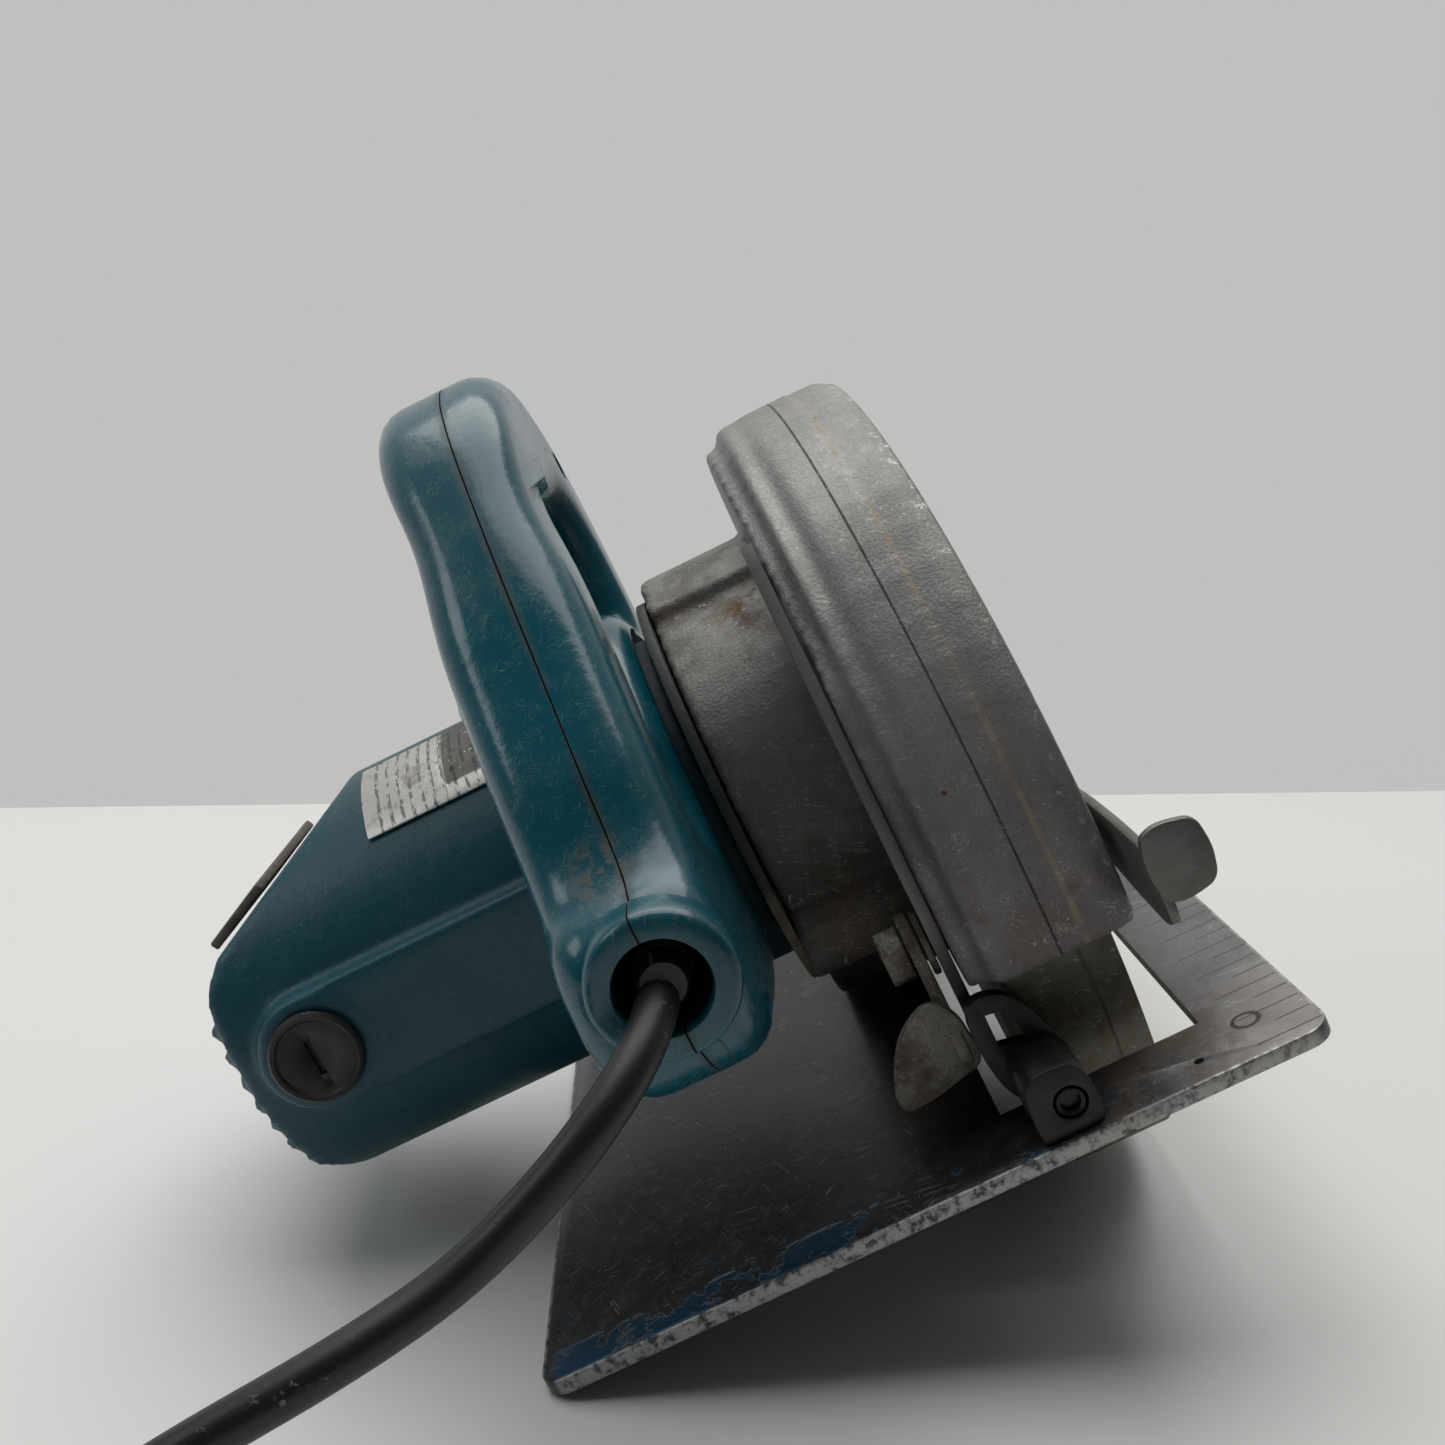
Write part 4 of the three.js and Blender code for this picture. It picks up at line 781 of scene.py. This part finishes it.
# ---- Nameplate -----------------------------------------------------------------------------
# Thin metal label on the top of the motor, worn and peeling, printed only with plain bars.
label = Finish("nameplate_metal", (0.62, 0.61, 0.58), 0.42, 0.5)
y, z = label.axis(1), label.axis(2)
bars = (y * 0.42).math("FRACT").step(0.66, 0.72) * y.step(-36.5, -36) * y.step(-6, -6.5)
words = label.noise(0.8, 2, 0.5, label.grain((1.6, 0.4, 1.6))).step(0.47, 0.5)
label.cover(bars * words * 0.75, (0.1, 0.1, 0.1), 0.6)
dark_box = y.step(-31.5, -31) * y.step(-22, -22.5) * z.step(95.5, 96)
label.cover(dark_box * 0.85, (0.035, 0.034, 0.033), 0.5)
label.cover(label.noise(0.11, 5, 0.7).step(0.54, 0.64) * 0.6, (0.26, 0.235, 0.2), 0.7)
label.cover(label.noise(0.3, 5, 0.75).step(0.62, 0.66), (0.09, 0.075, 0.06), 0.8, -0.3)
label.cover(label.noise(0.55, 4, 0.7).step(0.62, 0.66) * 0.8, (0.75, 0.74, 0.72), 0.35)
label.height = label.noise(0.25, 4) * 0.8 + label.height
label.done(0.4)
crisp("nameplate", label, 0.12)


# ---- Handle --------------------------------------------------------------------------------
# Two glossy teal halves screwed together on one plane, round-edged and waisted at the back, with
# a collared mouth for the lead at the rear and a slot over the trigger. Dirt sits in the parting.
HANDLE_MID = -56.4
gloss = Finish("handle_teal", (0.001, 0.088, 0.122), 0.2, 0.0, 0.12)
x, y, z = (gloss.axis(i) for i in range(3))
gloss.cover(gloss.noise(0.022, 4, 0.6).step(0.42, 0.66) * 0.5, (0.002, 0.062, 0.087), 0.3)
gloss.cover(gloss.noise(0.07, 5, 0.7).step(0.54, 0.66) * 0.25, (0.02, 0.075, 0.09), 0.45)
for longer, tilt, share in (((1, 40, 1), (0.4, 0, 0.25), 0.15), ((1, 1, 40), (0.5, 0.3, 0), 0.15),
                            ((40, 1, 1), (0, 0.7, 0.5), 0.1)):
    gloss.cover(gloss.scratches(longer, tilt, 0.9, 0.008, share) * 0.45, (0.12, 0.22, 0.24), 0.45)
gloss.cover(gloss.noise(0.45, 5, 0.75).step(0.675, 0.71) * 0.4, (0.09, 0.14, 0.15), 0.55)
gloss.cover(gloss.noise(0.1, 5, 0.75).step(0.685, 0.7) * 0.7, (0.008, 0.018, 0.022), 0.7)
grime = y.band(HANDLE_MID, 1.6) * gloss.noise(0.1, 4, 0.6).step(0.4, 0.6)
gloss.cover(grime * 0.45, (0.02, 0.024, 0.02), 0.7)
gloss.cover(y.band(HANDLE_MID, 0.34) * 0.85, (0.006, 0.009, 0.009), 0.7)
scuff = gloss.near((-15, -53.5, 87), 8, 0.2) * gloss.noise(0.3, 5, 0.75).step(0.46, 0.54)
gloss.cover(scuff * 0.85, (0.13, 0.085, 0.055), 0.8, 0.1)
shelf = gloss.near((-29, HANDLE_MID, 70), 13.2, 0.93) * x.step(-24, -28)
gloss.cover(shelf * gloss.noise(0.3, 5, 0.7).step(0.56, 0.68) * 0.5, (0.09, 0.105, 0.1), 0.7)
crack = (y + gloss.noise(0.35, 3, 0.6) * 2.2 + 58.6).band(0, 0.22)
crack = crack * z.step(60, 59) * z.step(49, 50) * x.step(-12, -16)
gloss.cover(crack * 0.9, (0.003, 0.004, 0.004), 0.7, -0.4)
# Painted shade: the lower part of the handle's right half darkened.
gloss.cover(y.step(-60, -67) * z.step(120, 70) * 0.5, (0.001, 0.03, 0.044), 0.3)
gloss.height = gloss.noise(0.5, 2, 0.5) * 0.3 + gloss.noise(1.6, 3) * 0.1 + gloss.height
gloss.done(0.2)

HANDLE_RIGHT = -67.2
HANDLE_LEFT = -40.5
WAIST_Z = 139
SHELL = [
    (-26, 58), (-27.5, 70), (-23, 79.5), (-14, 84), (-3, 100), (8, 115), (17, 127.5), (30, 143), (44, 156),
    (60, 163), (77, 164.6), (95, 163), (111, 156.5), (123, 145), (129.5, 130), (131, 112), (129, 96),
    (122, 84), (96, 82), (74, 82), (56, 66), (52, 50), (50, 39), (30, 38.5), (4, 43.5), (-17, 49.5),
]
GRIP = [
    (20, 77), (29, 74), (37, 79), (44, 92), (55, 102), (69, 108.6), (83, 110.4), (96, 108.2),
    (105, 105), (108, 112), (107, 124), (100, 133), (88, 137), (72, 136.5), (58, 131), (47, 122),
    (37, 110), (26, 97), (18, 86),
]


def carve(made, tool, way):
    """Joins a closed tool to a piece or cuts it away, and drops the tool."""
    change = made.modifiers.new("carve", "BOOLEAN")
    change.operation = way
    change.object = tool
    change.solver = "EXACT"
    settle(made)
    bpy.data.objects.remove(tool)


def tool_of(bm):
    return show(bm, "tool", "saw_body", "teal_gloss", gloss)


bm = outline_solid([SHELL, GRIP], HANDLE_RIGHT, HANDLE_LEFT, 7.2)
for vert in bm.verts:
    if vert.co.x < 62 and vert.co.z > 105:
        side = max(-1.0, min(1.0, (vert.co.y - (HANDLE_RIGHT + HANDLE_LEFT) / 2) / 10))
        vert.co.y -= 1.9 * side * math.exp(-((vert.co.z - WAIST_Z) / 12) ** 2)
whole = show(bm, "handle", "saw_body", "teal_gloss", gloss)
MOUTH = (-30, HANDLE_MID, 70)
lip = [(0, 8), (11.8, 8), (11.8, 1.6), (11.3, 0.5), (10.3, 0), (0, 0)]
carve(whole, tool_of(turned(lip, MOUTH, "X", 64)), "UNION")
opening = [(0, -3.4), (9.2, -3.4), (8.1, -1.0), (7.5, 0.4), (7.3, 2.5), (7.3, 27), (0, 27)]
carve(whole, tool_of(turned(opening, MOUTH, "X", 64)), "DIFFERENCE")
bore = add_rod(bmesh.new(), (MOTOR_X, HANDLE_MID, MOTOR_Z), "Y", 40.4, 60, 96)
carve(whole, tool_of(bore), "DIFFERENCE")
gap = [(44, 119), (50, 135), (60, 140), (86, 147), (88, 136), (76, 124), (60, 118)]
carve(whole, tool_of(outline_solid([gap], -63.6, -50.4, 0.3)), "DIFFERENCE")
for x_at, z_at in ((112, 141), (-9, 54), (119, 94), (42, 48)):
    carve(whole, tool_of(add_rod(bmesh.new(), (x_at, -67.8, z_at), "Y", 3.4, 10, 28)), "DIFFERENCE")
for name, keep in (("handle_left", 1), ("handle_right", -1)):
    bm = bmesh.new()
    bm.from_mesh(whole.data)
    bmesh.ops.transform(bm, matrix=SAW.inverted(), verts=bm.verts)
    bmesh.ops.remove_doubles(bm, verts=bm.verts, dist=1e-4)
    cut = bmesh.ops.bisect_plane(bm, geom=bm.verts[:] + bm.edges[:] + bm.faces[:], dist=1e-5,
                                 plane_co=(0, HANDLE_MID + 0.12 * keep, 0), plane_no=(0, keep, 0),
                                 clear_inner=True)
    rim = [g for g in cut["geom_cut"] if isinstance(g, bmesh.types.BMEdge)]
    bmesh.ops.triangle_fill(bm, use_beauty=True, use_dissolve=True, edges=rim)
    bmesh.ops.recalc_face_normals(bm, faces=bm.faces)
    show(bm, name + "_made", "saw_body", "teal_gloss", gloss, [name], 42)
bpy.data.objects.remove(whole)

for where in ("top", "rear", "front", "foot"):
    crisp("handle_screw_" + where, rusty, 0.15)
crisp("trigger", dark_plastic, 0.5)
crisp("switch_body", dark_plastic, 0.5)
crisp("cord_clamp", dark_plastic, 0.3)
crisp("front_knob", gloss, 0.4)


# ---- Depth lever ---------------------------------------------------------------------------
# Rusty pressed steel lever on a hex bolt at the case's left wall, its end bent out as a
# thumb paddle, speckled with old plaster.
lever = steel("lever_steel", (0.2, 0.19, 0.175), 0.55, (0.1, 0.085, 0.065))
lever.cover(lever.noise(0.1, 5, 0.7).step(0.46, 0.64) * 0.7, (0.11, 0.09, 0.07), 0.8, 0.15)
lever.cover(lever.noise(0.55, 5, 0.75).step(0.56, 0.62) * 0.85, (0.36, 0.33, 0.29), 0.85, 0.25)
lever.cover(lever.axis(2).step(13.6, 12.4) * 0.6, (0.3, 0.2, 0.15), 0.7)
lever.height = lever.noise(0.8, 5, 0.7) * 0.6 + lever.height
lever.done(0.5)
arm = [(22, 39.5), (27.5, 43), (33, 38), (31.5, 31), (25, 21), (19.5, 14.5), (15.5, 18), (20, 28)]
paddle = [
    (-92.8, 26), (-94, 20.5), (-94.2, 16.6), (-93, 14.6), (-90.5, 13.9), (-80, 11.9), (-77.8, 12.2),
    (-76.9, 14.2), (-77.6, 17.2), (-80.6, 23.4), (-84.6, 27.6), (-89.6, 29.2),
]
bm = gather(outline_solid([arm], -92.7, -90.3, 0.6), outline_solid([paddle], 16.8, 19.2, 0.7, "X"))
show(bm, "depth_lever_made", "depth_lever", "base_steel", lever, ["depth_lever"], 40)
crisp("depth_bolt", lever, 0.4)


# ---- Floor and light -----------------------------------------------------------------------
# A pale satin table that ends behind the saw, under a wide soft light from above.
top = Finish("table_top", (0.76, 0.76, 0.755), 0.4)
top.cover(top.noise(0.004).step(0.3, 0.8) * 0.3, (0.72, 0.72, 0.71))
bm = bmesh.new()
bmesh.ops.create_grid(bm, x_segments=1, y_segments=1, size=1)
mesh = bpy.data.meshes.new("floor")
reach = Matrix.Translation((-1.2, 0, 0)) @ Matrix.Diagonal((1.505, 2.5, 1, 1))
bmesh.ops.transform(bm, matrix=reach, verts=bm.verts)
bm.to_mesh(mesh)
bm.free()
mesh.materials.append(top.done())
floor = bpy.data.objects.new("floor", mesh)
bpy.context.scene.collection.objects.link(floor)


def lamp(name, place, aim, size, power, tone):
    data = bpy.data.lights.new(name, "AREA")
    data.shape = "RECTANGLE"
    data.size, data.size_y = size
    data.energy = power
    data.color = tone
    made = bpy.data.objects.new(name, data)
    made.location = place
    made.rotation_euler = (Vector(aim) - Vector(place)).to_track_quat("-Z", "Y").to_euler()
    bpy.context.scene.collection.objects.link(made)


lamp("ceiling", (0.35, 0.05, 1.5), (0, 0, 0.05), (1.7, 1.7), 23, (1.0, 0.99, 0.97))
lamp("side", (-0.3, 1.4, 1.0), (0, 0, 0.08), (0.6, 0.6), 3, (0.94, 0.98, 1.0))

# The room is a pale wall ahead and dim behind the camera, so the near faces lie in shade.
world = bpy.data.worlds.new("room")
world.use_nodes = True
sky = world.node_tree.nodes
facing = sky.new("ShaderNodeSeparateXYZ")
world.node_tree.links.new(sky.new("ShaderNodeTexCoord").outputs["Generated"], facing.inputs[0])
blend = sky.new("ShaderNodeMapRange")
blend.interpolation_type = "SMOOTHSTEP"
blend.inputs["From Min"].default_value = -0.5
blend.inputs["From Max"].default_value = 0.9
blend.inputs["To Min"].default_value = 0.055
blend.inputs["To Max"].default_value = 0.53
world.node_tree.links.new(facing.outputs[0], blend.inputs["Value"])
world.node_tree.links.new(blend.outputs[0], sky["Background"].inputs["Strength"])
sky["Background"].inputs["Color"].default_value = (1.0, 0.995, 0.98, 1)
bpy.context.scene.world = world
bpy.context.scene.view_settings.view_transform = "Standard"
